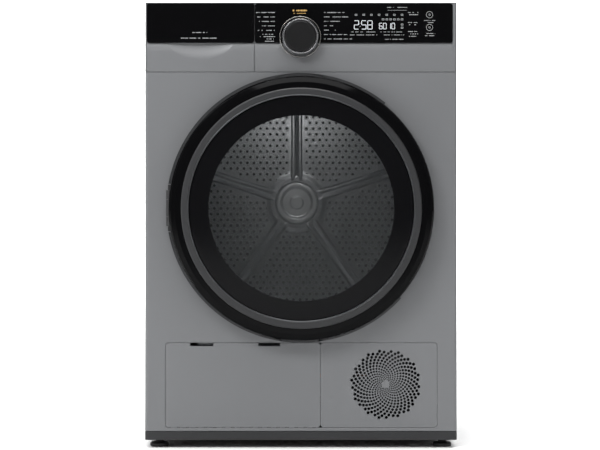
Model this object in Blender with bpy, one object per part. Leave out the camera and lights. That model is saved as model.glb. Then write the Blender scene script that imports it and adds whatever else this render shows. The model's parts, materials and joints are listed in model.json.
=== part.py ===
"""Front-loading clothes dryer, condenser type.

Metres, +Z up, front towards -Y. The origin is on the floor, under the middle of the whole
object's footprint.
"""

import math

import bmesh
import bpy
from mathutils import Matrix, Vector

# ---- cabinet ----
WIDTH = 0.595
HEIGHT = 0.850
CABINET_DEPTH = 0.585
DOOR_PROUD = 0.045          # door window in front of the front panel
DUCT_PROUD = 0.025          # air-duct cover behind the rear panel
SHEET = 0.0008
GAP = 0.0005                # between pieces that touch
SEAM = 0.001                # visible joint between panels
EDGE_RADIUS = 0.006
FRONT_RETURN = 0.012        # depth of the front panel's folded edges
TOP_SKIRT = 0.028
TOP_WALL = 0.0012
GLAND_STEM = 0.0075         # radius of the mains cable entry

FOOT_HEIGHT = 0.0155
FOOT_PAD_HEIGHT = 0.0076
FOOT_RADIUS = 0.0178
FOOT_STEM_RADIUS = 0.0078
FOOT_CLEARANCE = 0.0006
FOOT_INSET_X = 0.026
FOOT_INSET_Y = 0.035
PLINTH = 0.0163             # visible height of the base tray
TRAY_INSET = 0.013
TRAY_WALL = 0.003
TRAY_WALL_HEIGHT = 0.0047   # above the plinth
TRAY_FLOOR = 0.0065

# ---- control band ----
BAND = 0.1325               # height of the band above the front panel
BAND_DEPTH = 0.030
BAND_WALL = 0.003
BAND_FACE = 0.006
STRIP_HEIGHT = 0.075        # black strip at the top of the band
STRIP_THICK = 0.004
STRIP_PROUD = 0.0015
STRIP_MARGIN = 0.0025
STRIP_RIGHT_MARGIN = 0.0085
KNOB_X = -0.0015
KNOB_DROP = 0.066           # knob axis below the top
KNOB_RADIUS = 0.029
KNOB_RING = 0.0063
KNOB_PROUD = 0.024
SHAFT_RADIUS = 0.003
HALO_RADIUS = 0.056
HALO_DEPTH = 0.002

# ---- water tank ----
DRAWER_WIDTH = 0.2045
DRAWER_THICK = 0.009
TANK_INSET = 0.00725        # drawer edge to the tank's side
TANK_HEIGHT = 0.0615
TANK_LENGTH = 0.415
TANK_LIFT = 0.029           # tank underside above the band's lower edge
TANK_WALL = 0.002
TANK_CLEARANCE = 0.0025
GRIP_HALF_WIDTH = 0.0745
GRIP_DEPTH = 0.0065
GRIP_HEIGHT = 0.030

# ---- door ----
DOOR_Z = 0.458
DOOR_RADIUS = 0.257         # at the back of the side wall
FACE_INSET = 0.007          # front bevel inside the door's outer edge
DOOR_GAP = 0.004            # between the door's back and the front panel
DOOR_WALL = 0.003
DOOR_RIM = 0.032            # bevel's height in front of the panel
TRIM_INSET = 0.029
TRIM_WIDTH = 0.015
WINDOW_EDGE = 0.0365        # window rim in front of the panel
WINDOW_THICK = 0.0035
BOWL_INSET = 0.082
BOWL_DEPTH = 0.029          # behind the panel's face
GLASS = 0.004
INNER_FRAME_INSET = 0.032
INNER_FRAME_WIDTH = 0.029
FRAME_WALL = 0.0025
GRIP_FROM = -42.0           # degrees from +X, anticlockwise: the recess in the right side
GRIP_TO = 51.3
HINGE_PROUD = 0.020
HINGE_INSET = 0.007         # hinge axis inside the door's outer edge
HINGE_PIN = 0.003
HINGE_RUN = 0.0004          # running clearance, polygon to polygon
KNUCKLE_RADIUS = 0.006
KNUCKLE_HALF = 0.016
HINGE_HALF = 0.044
LATCH_INSET = 0.039
LATCH_REACH = 0.018

# ---- mouth, drum and air path ----
MOUTH_INSET = 0.059         # mouth inside the door's outer edge
MOUTH_RIM = 0.007           # panel hole round the mouth
BULKHEAD_WALL = 0.0025
BULKHEAD_SETBACK = 0.0135
BULKHEAD_RIM = 0.004
MOUTH_LENGTH = 0.0575
DRUM_NECK = 0.0265          # collar inside the drum's side
COLLAR_LENGTH = 0.013
SEAL_THICK = 0.0035
SEAL_CLEARANCE = 0.0015
DRUM_RADIUS = 0.280
DRUM_SHEET = 0.0008
DRUM_REAR_GAP = 0.014       # drum's back edge to the rear panel's face
REAR_WALL_SETBACK = 0.016
HUB_RADIUS = 0.048
HUB_HEIGHT = 0.011
DRUM_SHAFT_RADIUS = 0.0084
BEARING_RADIUS = 0.0172
BOSS_WALL = 0.007
BEARING_LENGTH = 0.020
LIFTER_HEIGHT = 0.058
LIFTER_HALF_WIDTH = 0.030
LIFTER_COUNT = 3
FILTER_HALF_WIDTH = 0.098
FILTER_FRONT = 0.0335       # behind the front panel's face
FILTER_THICK = 0.018
FILTER_BOTTOM = 0.152
FILTER_WALL = 0.0015
FILTER_TRAVEL = 0.130
LINT_DUCT_BOTTOM = 0.150
LINT_CLEARANCE = 0.002
ROLLER_RADIUS = 0.022
ROLLER_WIDTH = 0.018
ROLLER_ANGLE = 35.0
ROLLER_GAP = 0.0008
AXLE_RADIUS = 0.005

# ---- drive ----
MOTOR_X = 0.170
MOTOR_Z = 0.125
MOTOR_RADIUS = 0.055
MOTOR_LENGTH = 0.110
MOTOR_FROM_REAR = 0.225
MOTOR_SHAFT_RADIUS = 0.006
PULLEY_RADIUS = 0.009
BELT_THICK = 0.002
BELT_WIDTH = 0.010
BELT_FROM_REAR = 0.287
BELT_GAP = 0.0012
FAN_RADIUS = 0.070
FAN_WIDTH = 0.045
FAN_BLADES = 12
FAN_CLEARANCE = 0.008
FAN_WALL = 0.002
FAN_FROM_REAR = 0.0335
IDLER_RADIUS = 0.016
IDLER_ARM = 0.088

# ---- heat pump ----
CHAMBER_LEFT = -0.262
CHAMBER_RIGHT = 0.034
CHAMBER_TOP = 0.168
CHAMBER_WALL = 0.0025
CHAMBER_FRONT = 0.0565
CHAMBER_LENGTH = 0.2285
EXCHANGER_MARGIN = 0.008
EVAPORATOR_FROM = 0.075
EVAPORATOR_LENGTH = 0.080
CONDENSER_LENGTH = 0.110
EXCHANGER_SPACE = 0.010
FIN_COUNT = 16
COMPRESSOR_X = 0.190
COMPRESSOR_FROM = 0.170
COMPRESSOR_RADIUS = 0.055
COMPRESSOR_HEIGHT = 0.150
PIPE_RADIUS = 0.004

# ---- service flap and grille ----
LOWER_LEFT = -0.259
LOWER_RIGHT = 0.260
LOWER_BOTTOM = 0.0385
LOWER_TOP = 0.2015
LOWER_CORNER = 0.006
FLAP_SPLIT = 0.037
FLAP_THICK = 0.010
FLAP_WALL = 0.0025
FLAP_GAP = 0.0015
FLAP_AXIS_RISE = 0.0065     # hinge axis above the flap's lower edge
FLAP_AXIS_DEPTH = 0.004
FLAP_PIN = 0.002
GRILLE_X = 0.1617
GRILLE_Z = 0.1219
GRILLE_RADIUS = 0.066
GRILLE_HOLE = 0.004
GRILLE_HOLES = 18
GRILLE_THICK = 0.0025

WELD = 0.000005             # points closer than this are one
ROUND = 36                  # sides of large round pieces
DOOR_ROUND = 48
MID_ROUND = 20
SMALL_ROUND = 12

# ---- derived places ----
OVERALL_DEPTH = CABINET_DEPTH + DOOR_PROUD + DUCT_PROUD
FRONT = DOOR_PROUD - OVERALL_DEPTH / 2
REAR = FRONT + CABINET_DEPTH
HALF = WIDTH / 2
PLINTH_TOP = FOOT_HEIGHT + PLINTH
TRAY_TOP = PLINTH_TOP + TRAY_WALL_HEIGHT
TRAY_INSIDE = FOOT_HEIGHT + TRAY_FLOOR
BAND_BOTTOM = HEIGHT - BAND
TOP_BOTTOM = HEIGHT - TOP_SKIRT
PANEL_BOTTOM = PLINTH_TOP + SEAM
KNOB_Z = HEIGHT - KNOB_DROP
STRIP_BOTTOM = HEIGHT - STRIP_MARGIN - STRIP_HEIGHT
DRAWER_LEFT = -HALF + BAND_WALL + GAP
DRAWER_RIGHT = DRAWER_LEFT + DRAWER_WIDTH
DRAWER_SEAM = DRAWER_RIGHT + SEAM
DRAWER_MIDDLE = (DRAWER_LEFT + DRAWER_RIGHT) / 2
TANK_BOTTOM = BAND_BOTTOM + TANK_LIFT
TANK_WIDTH = DRAWER_WIDTH - 2 * TANK_INSET
DOOR_FACE_RADIUS = DOOR_RADIUS - FACE_INSET
TRIM_OUTER = DOOR_RADIUS - TRIM_INSET
BOWL_RADIUS = DOOR_RADIUS - BOWL_INSET
INNER_FRAME_RADIUS = DOOR_RADIUS - INNER_FRAME_INSET
INNER_FRAME_BORE = INNER_FRAME_RADIUS - INNER_FRAME_WIDTH
LATCH_X = DOOR_RADIUS - LATCH_INSET
MOUTH_RADIUS = DOOR_RADIUS - MOUTH_INSET
PANEL_HOLE_RADIUS = MOUTH_RADIUS + MOUTH_RIM
COLLAR_RADIUS = DRUM_RADIUS - DRUM_NECK
BULKHEAD_RADIUS = COLLAR_RADIUS + BULKHEAD_RIM
HINGE_X = -(DOOR_RADIUS - HINGE_INSET)
HINGE_Y = FRONT - HINGE_PROUD
DRUM_FRONT = FRONT + MOUTH_LENGTH + BULKHEAD_WALL + GAP
DRUM_BACK = REAR - DRUM_REAR_GAP
REAR_WALL_Y = DRUM_BACK - REAR_WALL_SETBACK
ROLLER_DISTANCE = DRUM_RADIUS + ROLLER_RADIUS + ROLLER_GAP
ROLLER_X = ROLLER_DISTANCE * math.sin(math.radians(ROLLER_ANGLE))
ROLLER_Z = DOOR_Z - ROLLER_DISTANCE * math.cos(math.radians(ROLLER_ANGLE))
ROLLER_FRONT = DRUM_FRONT + 0.024
MOTOR_FRONT = REAR - MOTOR_FROM_REAR
BELT_Y = REAR - BELT_FROM_REAR
FAN_BACK = REAR - FAN_FROM_REAR
FLAP_BOTTOM = LOWER_BOTTOM + FLAP_GAP
FLAP_AXIS_Z = FLAP_BOTTOM + FLAP_AXIS_RISE
FLAP_AXIS_Y = FRONT + FLAP_AXIS_DEPTH

# colour, roughness, metallic
FINISHES = {
    "body_grey": ((0.26, 0.27, 0.28), 0.42, 0.55),
    "dark_grey": ((0.035, 0.037, 0.040), 0.55, 0.0),
    "gloss_black": ((0.006, 0.006, 0.007), 0.08, 0.0),
    "matt_black": ((0.012, 0.012, 0.013), 0.60, 0.0),
    "satin_trim": ((0.045, 0.048, 0.052), 0.35, 0.7),
    "chrome": ((0.70, 0.70, 0.70), 0.12, 1.0),
    "smoked_glass": ((0.03, 0.032, 0.035), 0.05, 0.0),
    "steel": ((0.48, 0.48, 0.48), 0.35, 1.0),
    "zinc": ((0.42, 0.43, 0.44), 0.45, 1.0),
    "copper": ((0.62, 0.28, 0.16), 0.35, 1.0),
    "fins": ((0.60, 0.61, 0.62), 0.40, 1.0),
    "felt": ((0.32, 0.30, 0.27), 0.95, 0.0),
    "rubber": ((0.015, 0.015, 0.015), 0.85, 0.0),
    "inner_plastic": ((0.20, 0.21, 0.22), 0.50, 0.0),
    "tank_plastic": ((0.55, 0.58, 0.60), 0.45, 0.0),
}


# ---- shape helpers ----
def material(name, finish):
    colour, roughness, metallic = FINISHES[finish]
    mat = bpy.data.materials.new(name)
    mat.use_nodes = True
    shader = mat.node_tree.nodes["Principled BSDF"]
    shader.inputs["Base Color"].default_value = (*colour, 1.0)
    shader.inputs["Roughness"].default_value = roughness
    shader.inputs["Metallic"].default_value = metallic
    mat.diffuse_color = (*colour, 1.0)
    return mat


def close(bm):
    bmesh.ops.recalc_face_normals(bm, faces=bm.faces)
    return bm


def lathe(profile, centre, along="Y", sides=ROUND):
    """Turn (radius, station) points round the axis through centre; stations are world values."""
    bm = bmesh.new()
    rings = []
    for radius, station in profile:
        count = 1 if radius < 1e-6 else sides
        ring = []
        for i in range(count):
            angle = 2 * math.pi * i / sides
            a = centre[0] + radius * math.cos(angle)
            b = centre[1] + radius * math.sin(angle)
            point = (a, station, b) if along == "Y" else (a, b, station)
            ring.append(bm.verts.new(point))
        rings.append(ring)
    pairs = list(zip(rings, rings[1:]))
    if len(rings[0]) > 1 and len(rings[-1]) > 1:
        pairs.append((rings[-1], rings[0]))
    for ring, after in pairs:
        for i in range(sides):
            j = (i + 1) % sides
            here, there = len(ring), len(after)
            corners = [ring[i % here], ring[j % here], after[j % there], after[i % there]]
            bm.faces.new(list(dict.fromkeys(corners)))
    return close(bm)


def prism(outline, low, high, along="Y"):
    """Extrude a flat outline. Its points are (x, z) along Y, (x, y) along Z and (y, z) along X."""
    bm = bmesh.new()
    rings = []
    for station in (low, high):
        ring = []
        for a, b in outline:
            point = {"X": (station, a, b), "Y": (a, station, b), "Z": (a, b, station)}[along]
            ring.append(bm.verts.new(point))
        rings.append(ring)
    bm.faces.new(rings[0])
    bm.faces.new(rings[1])
    count = len(outline)
    for i in range(count):
        j = (i + 1) % count
        bm.faces.new((rings[0][i], rings[0][j], rings[1][j], rings[1][i]))
    return close(bm)


def block(x, y, z):
    return prism([(x[0], z[0]), (x[1], z[0]), (x[1], z[1]), (x[0], z[1])], y[0], y[1])


def rod(centre, radius, low, high, along="Y", sides=SMALL_ROUND):
    return lathe([(0, low), (radius, low), (radius, high), (0, high)], centre, along, sides)


def rounded(low, high, radius, steps=3):
    """Rectangle outline with rounded corners, between two corner points."""
    centres = [(high[0] - radius, high[1] - radius), (low[0] + radius, high[1] - radius),
               (low[0] + radius, low[1] + radius), (high[0] - radius, low[1] + radius)]
    points = []
    for corner, (a, b) in enumerate(centres):
        for step in range(steps + 1):
            angle = math.pi / 2 * (corner + step / steps)
            points.append((a + radius * math.cos(angle), b + radius * math.sin(angle)))
    return points


def loop_outline(big, big_radius, small, small_radius, steps=24):
    """Taut loop round two circles: a belt's run, or a teardrop."""
    reach = Vector(small) - Vector(big)
    lean = math.acos((big_radius - small_radius) / reach.length)
    base = math.atan2(reach.y, reach.x)
    points = []
    for (x, z), radius, start, sweep in (
            (big, big_radius, base + lean, 2 * (math.pi - lean)),
            (small, small_radius, base - lean, 2 * lean)):
        count = max(4, round(steps * sweep / math.pi))
        for i in range(count + 1):
            angle = start + sweep * i / count
            points.append((x + radius * math.cos(angle), z + radius * math.sin(angle)))
    return points


def combine(obj, shapes, operation):
    for shape in shapes:
        tool = body_from("tool", shape)
        modifier = obj.modifiers.new("shape", "BOOLEAN")
        modifier.operation = operation
        modifier.solver = "EXACT"
        modifier.object = tool
        graph = bpy.context.evaluated_depsgraph_get()
        mesh = bpy.data.meshes.new_from_object(obj.evaluated_get(graph))
        obj.modifiers.clear()
        weld(mesh)
        obj.data = mesh
        bpy.data.objects.remove(tool)


def weld(mesh):
    bm = bmesh.new()
    bm.from_mesh(mesh)
    bmesh.ops.remove_doubles(bm, verts=bm.verts, dist=WELD)
    bm.to_mesh(mesh)
    bm.free()


def body_from(name, bm):
    mesh = bpy.data.meshes.new(name)
    bm.to_mesh(mesh)
    bm.free()
    obj = bpy.data.objects.new(name, mesh)
    bpy.context.scene.collection.objects.link(obj)
    return obj


def part(name, finish, shape, add=(), cut=(), pivot=None):
    """One named piece: a shape, what is joined to it, what is cut from it, and its joint's axis."""
    obj = body_from(name, shape)
    combine(obj, add, "UNION")
    combine(obj, cut, "DIFFERENCE")
    mesh = obj.data
    mesh.name = name
    mesh.materials.clear()
    mesh.materials.append(material(name, finish))
    if pivot is not None:
        mesh.transform(Matrix.Translation(-Vector(pivot)))
        obj.location = pivot
    mesh.shade_smooth()
    mesh.set_sharp_from_angle(angle=math.radians(35))
    return obj


# ---- cabinet ----
def base_tray():
    low = (-HALF + TRAY_INSET, FRONT + TRAY_INSET)
    high = (HALF - TRAY_INSET, REAR - TRAY_INSET)
    plan = rounded((-HALF, FRONT), (HALF, REAR), EDGE_RADIUS)
    inside = [(low[0] + TRAY_WALL, low[1] + TRAY_WALL), (high[0] - TRAY_WALL, high[1] - TRAY_WALL)]
    bosses = [rod(spot, FOOT_STEM_RADIUS + 2 * TRAY_WALL, FOOT_HEIGHT + 0.001, TRAY_TOP, "Z")
              for spot in foot_spots()]
    holes = [rod(spot, FOOT_STEM_RADIUS + FOOT_CLEARANCE, FOOT_HEIGHT - 0.01, TRAY_TOP + 0.01, "Z")
             for spot in foot_spots()]
    obj = part("base_tray", "dark_grey", prism(plan, FOOT_HEIGHT, PLINTH_TOP, "Z"),
               add=[block((low[0], high[0]), (low[1], high[1]), (FOOT_HEIGHT + 0.002, TRAY_TOP))],
               cut=[block((inside[0][0], inside[1][0]), (inside[0][1], inside[1][1]),
                          (TRAY_INSIDE, TRAY_TOP + 0.01))])
    combine(obj, bosses, "UNION")
    combine(obj, holes, "DIFFERENCE")


def foot_spots():
    x = HALF - FOOT_INSET_X
    front, rear = FRONT + FOOT_INSET_Y, REAR - FOOT_INSET_Y
    return [(-x, front), (x, front), (-x, rear), (x, rear)]


def levelling_feet():
    names = ("front_left", "front_right", "rear_left", "rear_right")
    for name, spot in zip(names, foot_spots()):
        profile = [(0, 0), (FOOT_RADIUS, 0), (FOOT_RADIUS, FOOT_PAD_HEIGHT - 0.002),
                   (FOOT_RADIUS - 0.002, FOOT_PAD_HEIGHT), (FOOT_STEM_RADIUS, FOOT_PAD_HEIGHT),
                   (FOOT_STEM_RADIUS, TRAY_TOP - 0.0005), (0, TRAY_TOP - 0.0005)]
        part("foot_" + name, "matt_black", lathe(profile, spot, "Z", SMALL_ROUND), pivot=(*spot, 0))


def side_panels():
    step = BAND_BOTTOM - SEAM
    front, band_back = FRONT + FRONT_RETURN + SEAM, FRONT + BAND_DEPTH + GAP
    top = TOP_BOTTOM - GAP
    outline = [(front, PANEL_BOTTOM), (REAR, PANEL_BOTTOM), (REAR, top), (band_back, top),
               (band_back, step), (front, step)]
    for name, side in (("left", -1), ("right", 1)):
        inner, outer = side * (HALF - SHEET), side * HALF
        part("side_panel_" + name, "body_grey", prism(outline, min(inner, outer), max(inner, outer), "X"))


def front_panel():
    outer = rounded((-HALF, FRONT), (HALF, FRONT + 2 * FRONT_RETURN), EDGE_RADIUS)
    inner = rounded((-HALF + SHEET, FRONT + SHEET), (HALF - SHEET, FRONT + 3 * FRONT_RETURN),
                    EDGE_RADIUS - SHEET)
    low, high = PANEL_BOTTOM, BAND_BOTTOM - SEAM
    ear_left = LOWER_LEFT - 0.005
    axis = (FLAP_AXIS_Y, FLAP_AXIS_Z)
    cuts = [prism(inner, low - 1, high + 1, "Z"),
            block((-1, 1), (FRONT + FRONT_RETURN, FRONT + 1), (low - 1, high + 1)),
            rod((0, DOOR_Z), PANEL_HOLE_RADIUS, FRONT - 0.01, FRONT + 0.01, sides=DOOR_ROUND),
            prism(rounded((LOWER_LEFT, LOWER_BOTTOM), (LOWER_RIGHT, LOWER_TOP), LOWER_CORNER),
                  FRONT - 0.01, FRONT + 0.01),
            block((LATCH_X - 0.0075, LATCH_X + 0.0085), (FRONT - 0.01, FRONT + 0.01),
                  (DOOR_Z - 0.0095, DOOR_Z + 0.0095))]
    obj = part("front_panel", "body_grey", prism(outer, low, high, "Z"), cut=cuts)
    ear = block((ear_left, ear_left + 0.003), (FRONT + SHEET / 2, FRONT + 0.010),
                (LOWER_BOTTOM + 0.001, LOWER_BOTTOM + 0.014))
    combine(obj, [ear], "UNION")
    combine(obj, [lathe_x(axis, FLAP_PIN + 0.0005, ear_left - 0.002, ear_left + 0.005)], "DIFFERENCE")


def lathe_x(centre, radius, low, high):
    """Small rod along X, its centre given as (y, z)."""
    outline = [(centre[0] + radius * math.cos(2 * math.pi * i / SMALL_ROUND),
                centre[1] + radius * math.sin(2 * math.pi * i / SMALL_ROUND)) for i in range(SMALL_ROUND)]
    return prism(outline, low, high, "X")


def rear_panel():
    half = HALF - SHEET - GAP
    face = REAR - SHEET
    holes = []
    for i in range(6):
        angle = math.pi / 3 * (i + 0.5)
        spot = (0.145 * math.cos(angle), DOOR_Z + 0.145 * math.sin(angle))
        holes.append(rod(spot, 0.055, face - 0.01, REAR + 0.01))
    fan_outlet = rod((MOTOR_X, MOTOR_Z), FAN_RADIUS - 0.015, face - 0.01, REAR + 0.01, sides=MID_ROUND)
    gland = rod(gland_spot(), GLAND_STEM + GAP, face - 0.01, REAR + 0.01)
    outer, bore = BEARING_RADIUS + GAP + BOSS_WALL, BEARING_RADIUS + GAP
    boss = rod((0, DOOR_Z), outer, face - 0.004, face + BEARING_LENGTH - 0.002, sides=MID_ROUND)
    bore_cut = rod((0, DOOR_Z), bore, face - 0.05, REAR + 0.05, sides=MID_ROUND)
    part("rear_panel", "zinc", block((-half, half), (face, REAR), (PANEL_BOTTOM, TOP_BOTTOM - GAP)),
         add=[boss], cut=[bore_cut, fan_outlet, gland] + holes)
    ring = [(DRUM_SHAFT_RADIUS + GAP, face - 0.003), (BEARING_RADIUS, face - 0.003),
            (BEARING_RADIUS, face + BEARING_LENGTH - 0.003),
            (DRUM_SHAFT_RADIUS + GAP, face + BEARING_LENGTH - 0.003)]
    part("rear_bearing", "steel", lathe(ring, (0, DOOR_Z), sides=MID_ROUND))


def duct_outline(grow):
    return loop_outline((0, DOOR_Z), 0.215 + grow, (MOTOR_X, MOTOR_Z), 0.075 + grow, 14)


def rear_cover():
    back = REAR + DUCT_PROUD
    face = REAR + 0.0003
    part("rear_cover", "zinc", prism(duct_outline(0.0), face, back),
         add=[prism(duct_outline(0.012), face, face + SHEET)],
         cut=[prism(duct_outline(-SHEET), face - 0.01, back - SHEET)])


def gland_spot():
    return (-HALF + 0.065, HEIGHT - 0.075)


def cable_gland():
    inside, face, back = REAR - 0.012, REAR + 0.0003, REAR + 0.016
    profile = [(0.004, inside), (GLAND_STEM, inside), (GLAND_STEM, face), (0.013, face),
               (0.013, face + 0.004), (0.009, face + 0.006), (0.007, back), (0.004, back)]
    part("cable_gland", "matt_black", lathe(profile, gland_spot(), sides=SMALL_ROUND))


def top_panel():
    low, high = (-HALF, FRONT + BAND_DEPTH + GAP), (HALF, REAR)
    inner_low = (low[0] + TOP_WALL, low[1] + TOP_WALL)
    inner_high = (high[0] - TOP_WALL, high[1] - TOP_WALL)
    hollow = prism(rounded(inner_low, inner_high, EDGE_RADIUS - TOP_WALL),
                   TOP_BOTTOM - 0.01, HEIGHT - TOP_WALL, "Z")
    board = prism(rounded(low, high, EDGE_RADIUS), TOP_BOTTOM, HEIGHT, "Z")
    part("top_panel", "body_grey", board, cut=[hollow])


def control_fascia():
    left, right = -HALF, HALF
    back = FRONT + BAND_DEPTH
    w = BAND_WALL
    outer = rounded((left, FRONT), (right, back + 0.02), EDGE_RADIUS)
    tank_low, tank_high = TANK_BOTTOM - TANK_CLEARANCE, TANK_BOTTOM + TANK_HEIGHT + TANK_CLEARANCE
    tank_half = TANK_WIDTH / 2 + TANK_CLEARANCE
    tank_x = (DRAWER_MIDDLE - tank_half, DRAWER_MIDDLE + tank_half)
    halo = lathe([(0, FRONT + HALO_DEPTH), (HALO_RADIUS - 0.010, FRONT + HALO_DEPTH),
                  (HALO_RADIUS, FRONT - 0.0001), (HALO_RADIUS, FRONT - 0.01), (0, FRONT - 0.01)],
                 (KNOB_X, KNOB_Z))
    cuts = [block((left - 1, right + 1), (back, back + 1), (BAND_BOTTOM - 1, HEIGHT + 1)),
            block((DRAWER_SEAM + w, right - w), (FRONT + BAND_FACE, back + 1),
                  (BAND_BOTTOM + w, HEIGHT - w)),
            block((left + w, DRAWER_SEAM), (FRONT + DRAWER_THICK + GAP + w, back + 1),
                  (BAND_BOTTOM + w, HEIGHT - w)),
            block((left + w, DRAWER_SEAM), (FRONT - 1, FRONT + DRAWER_THICK + GAP),
                  (BAND_BOTTOM - 1, HEIGHT - STRIP_MARGIN + GAP)),
            block(tank_x, (FRONT - 1, back + 1), (tank_low, tank_high)),
            halo,
            strip_shape(DRAWER_SEAM + GAP, right - STRIP_RIGHT_MARGIN,
                        FRONT + STRIP_THICK - STRIP_PROUD + GAP, FRONT - 1, GAP),
            rod((KNOB_X, KNOB_Z), SHAFT_RADIUS + 0.001, FRONT - 1, back + 1)]
    part("control_fascia", "body_grey", prism(outer, BAND_BOTTOM, HEIGHT, "Z"), cut=cuts)


def strip_shape(left, right, back, front, grow=0.0):
    return block((left - grow, right + grow), (front, back),
                 (STRIP_BOTTOM - grow, HEIGHT - STRIP_MARGIN + grow))


def control_glass():
    shape = strip_shape(DRAWER_SEAM + GAP, HALF - STRIP_RIGHT_MARGIN,
                        FRONT + STRIP_THICK - STRIP_PROUD, FRONT - STRIP_PROUD)
    part("control_glass", "gloss_black", shape,
         cut=[rod((KNOB_X, KNOB_Z), SHAFT_RADIUS + 0.001, FRONT - 1, FRONT + 1)])


def program_knob():
    pivot = (KNOB_X, FRONT, KNOB_Z)
    tip, back = FRONT - KNOB_PROUD, FRONT - STRIP_PROUD - 0.0015
    cap = [(0, tip), (KNOB_RADIUS - 0.002, tip), (KNOB_RADIUS, tip + 0.002), (KNOB_RADIUS, back),
           (SHAFT_RADIUS, back), (SHAFT_RADIUS, FRONT + BAND_FACE + 0.004), (0, FRONT + BAND_FACE + 0.004)]
    part("knob_cap", "matt_black", lathe(cap, (KNOB_X, KNOB_Z), sides=MID_ROUND), pivot=pivot)
    inner, outer = KNOB_RADIUS + GAP, KNOB_RADIUS + KNOB_RING
    ring = [(inner, tip + 0.003), (inner + 0.002, tip + 0.0015), (outer, back - 0.006), (outer, back),
            (inner, back)]
    part("knob_ring", "chrome", lathe(ring, (KNOB_X, KNOB_Z), sides=MID_ROUND), pivot=pivot)


# ---- water tank drawer ----
def tank_drawer():
    pivot = (DRAWER_MIDDLE, FRONT, TANK_BOTTOM)
    back = FRONT + DRAWER_THICK
    face = [(DRAWER_LEFT, BAND_BOTTOM), (DRAWER_RIGHT, BAND_BOTTOM),
            (DRAWER_RIGHT, HEIGHT - STRIP_MARGIN), (DRAWER_LEFT, HEIGHT - STRIP_MARGIN)]
    grip = bmesh.new()
    bmesh.ops.create_uvsphere(grip, u_segments=24, v_segments=10, radius=1.0)
    grip.transform(Matrix.Translation((DRAWER_MIDDLE, FRONT, STRIP_BOTTOM - GRIP_HEIGHT * 0.15))
                   @ Matrix.Diagonal((GRIP_HALF_WIDTH, GRIP_DEPTH, GRIP_HEIGHT * 0.85, 1)))
    strip_back = FRONT + STRIP_THICK - STRIP_PROUD
    part("tank_front", "body_grey", prism(face, FRONT, back),
         cut=[close(grip), strip_shape(DRAWER_LEFT - 1, DRAWER_RIGHT + 1, strip_back + GAP, FRONT - 1, GAP)],
         pivot=pivot)
    part("tank_front_glass", "gloss_black",
         strip_shape(DRAWER_LEFT, DRAWER_RIGHT, strip_back, FRONT - STRIP_PROUD), pivot=pivot)
    x = (DRAWER_MIDDLE - TANK_WIDTH / 2, DRAWER_MIDDLE + TANK_WIDTH / 2)
    y = (back + GAP, back + GAP + TANK_LENGTH)
    z = (TANK_BOTTOM, TANK_BOTTOM + TANK_HEIGHT)
    w = TANK_WALL
    inside = block((x[0] + w, x[1] - w), (y[0] + w, y[1] - w), (z[0] + w, z[1] - w))
    fill = rod((DRAWER_MIDDLE, y[1] - 0.05), 0.020, z[1] - 0.01, z[1] + 0.01, "Z")
    part("tank_container", "tank_plastic", block(x, y, z), cut=[inside, fill], pivot=pivot)


def tank_housing():
    c, w = TANK_CLEARANCE, TANK_WALL
    x = (DRAWER_MIDDLE - TANK_WIDTH / 2 - c, DRAWER_MIDDLE + TANK_WIDTH / 2 + c)
    z = (TANK_BOTTOM - c, TANK_BOTTOM + TANK_HEIGHT + c)
    front, back = FRONT + BAND_DEPTH + GAP, FRONT + DRAWER_THICK + TANK_LENGTH + 0.01
    part("tank_housing", "inner_plastic",
         block((x[0] - w, x[1] + w), (front, back + w), (z[0] - w, z[1] + w)),
         cut=[block(x, (front - 1, back), z)])


# ---- mouth and drum ----
def front_bulkhead():
    w = BULKHEAD_WALL
    plate, mouth_back = FRONT + BULKHEAD_SETBACK, FRONT + MOUTH_LENGTH
    outer = MOUTH_RADIUS + w
    profile = [(BULKHEAD_RADIUS, plate), (BULKHEAD_RADIUS, plate + w), (outer, plate + w),
               (outer, mouth_back - w), (COLLAR_RADIUS, mouth_back - w),
               (COLLAR_RADIUS, mouth_back + COLLAR_LENGTH), (COLLAR_RADIUS - w, mouth_back + COLLAR_LENGTH),
               (COLLAR_RADIUS - w, mouth_back), (MOUTH_RADIUS, mouth_back), (MOUTH_RADIUS, FRONT + 0.002),
               (outer, FRONT + 0.002), (outer, plate)]
    c = LINT_CLEARANCE
    duct_x = FILTER_HALF_WIDTH + c
    duct_y = (FRONT + FILTER_FRONT - c, FRONT + FILTER_FRONT + FILTER_THICK + c)
    duct_top = DOOR_Z - math.sqrt(MOUTH_RADIUS ** 2 - (duct_x + w) ** 2)
    inner = block((-duct_x, duct_x), duct_y, (LINT_DUCT_BOTTOM - 0.01, duct_top + 0.01))
    box = block((-duct_x - w, duct_x + w), (duct_y[0] - w, duct_y[1] + w),
                (LINT_DUCT_BOTTOM, duct_top + 0.004))
    mouth = rod((0, DOOR_Z), MOUTH_RADIUS, FRONT - 0.01, mouth_back + 0.01, sides=ROUND)
    axle_end = ROLLER_FRONT + ROLLER_WIDTH + 0.002
    ears, axles = [], []
    for side in (-1, 1):
        x = side * ROLLER_X
        ears.append(block((x - 0.024, x + 0.024), (plate, plate + w), (ROLLER_Z - 0.015, ROLLER_Z + 0.048)))
        axles.append(rod((x, ROLLER_Z), AXLE_RADIUS, plate + w / 2, axle_end))
    latch = block((LATCH_X - 0.0145, LATCH_X + 0.0145), (plate - 0.01, plate + 0.01),
                  (DOOR_Z - 0.0235, DOOR_Z + 0.0235))
    part("front_bulkhead", "inner_plastic", lathe(profile, (0, DOOR_Z)),
         add=[box] + ears + axles, cut=[inner, mouth, latch])


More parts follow.
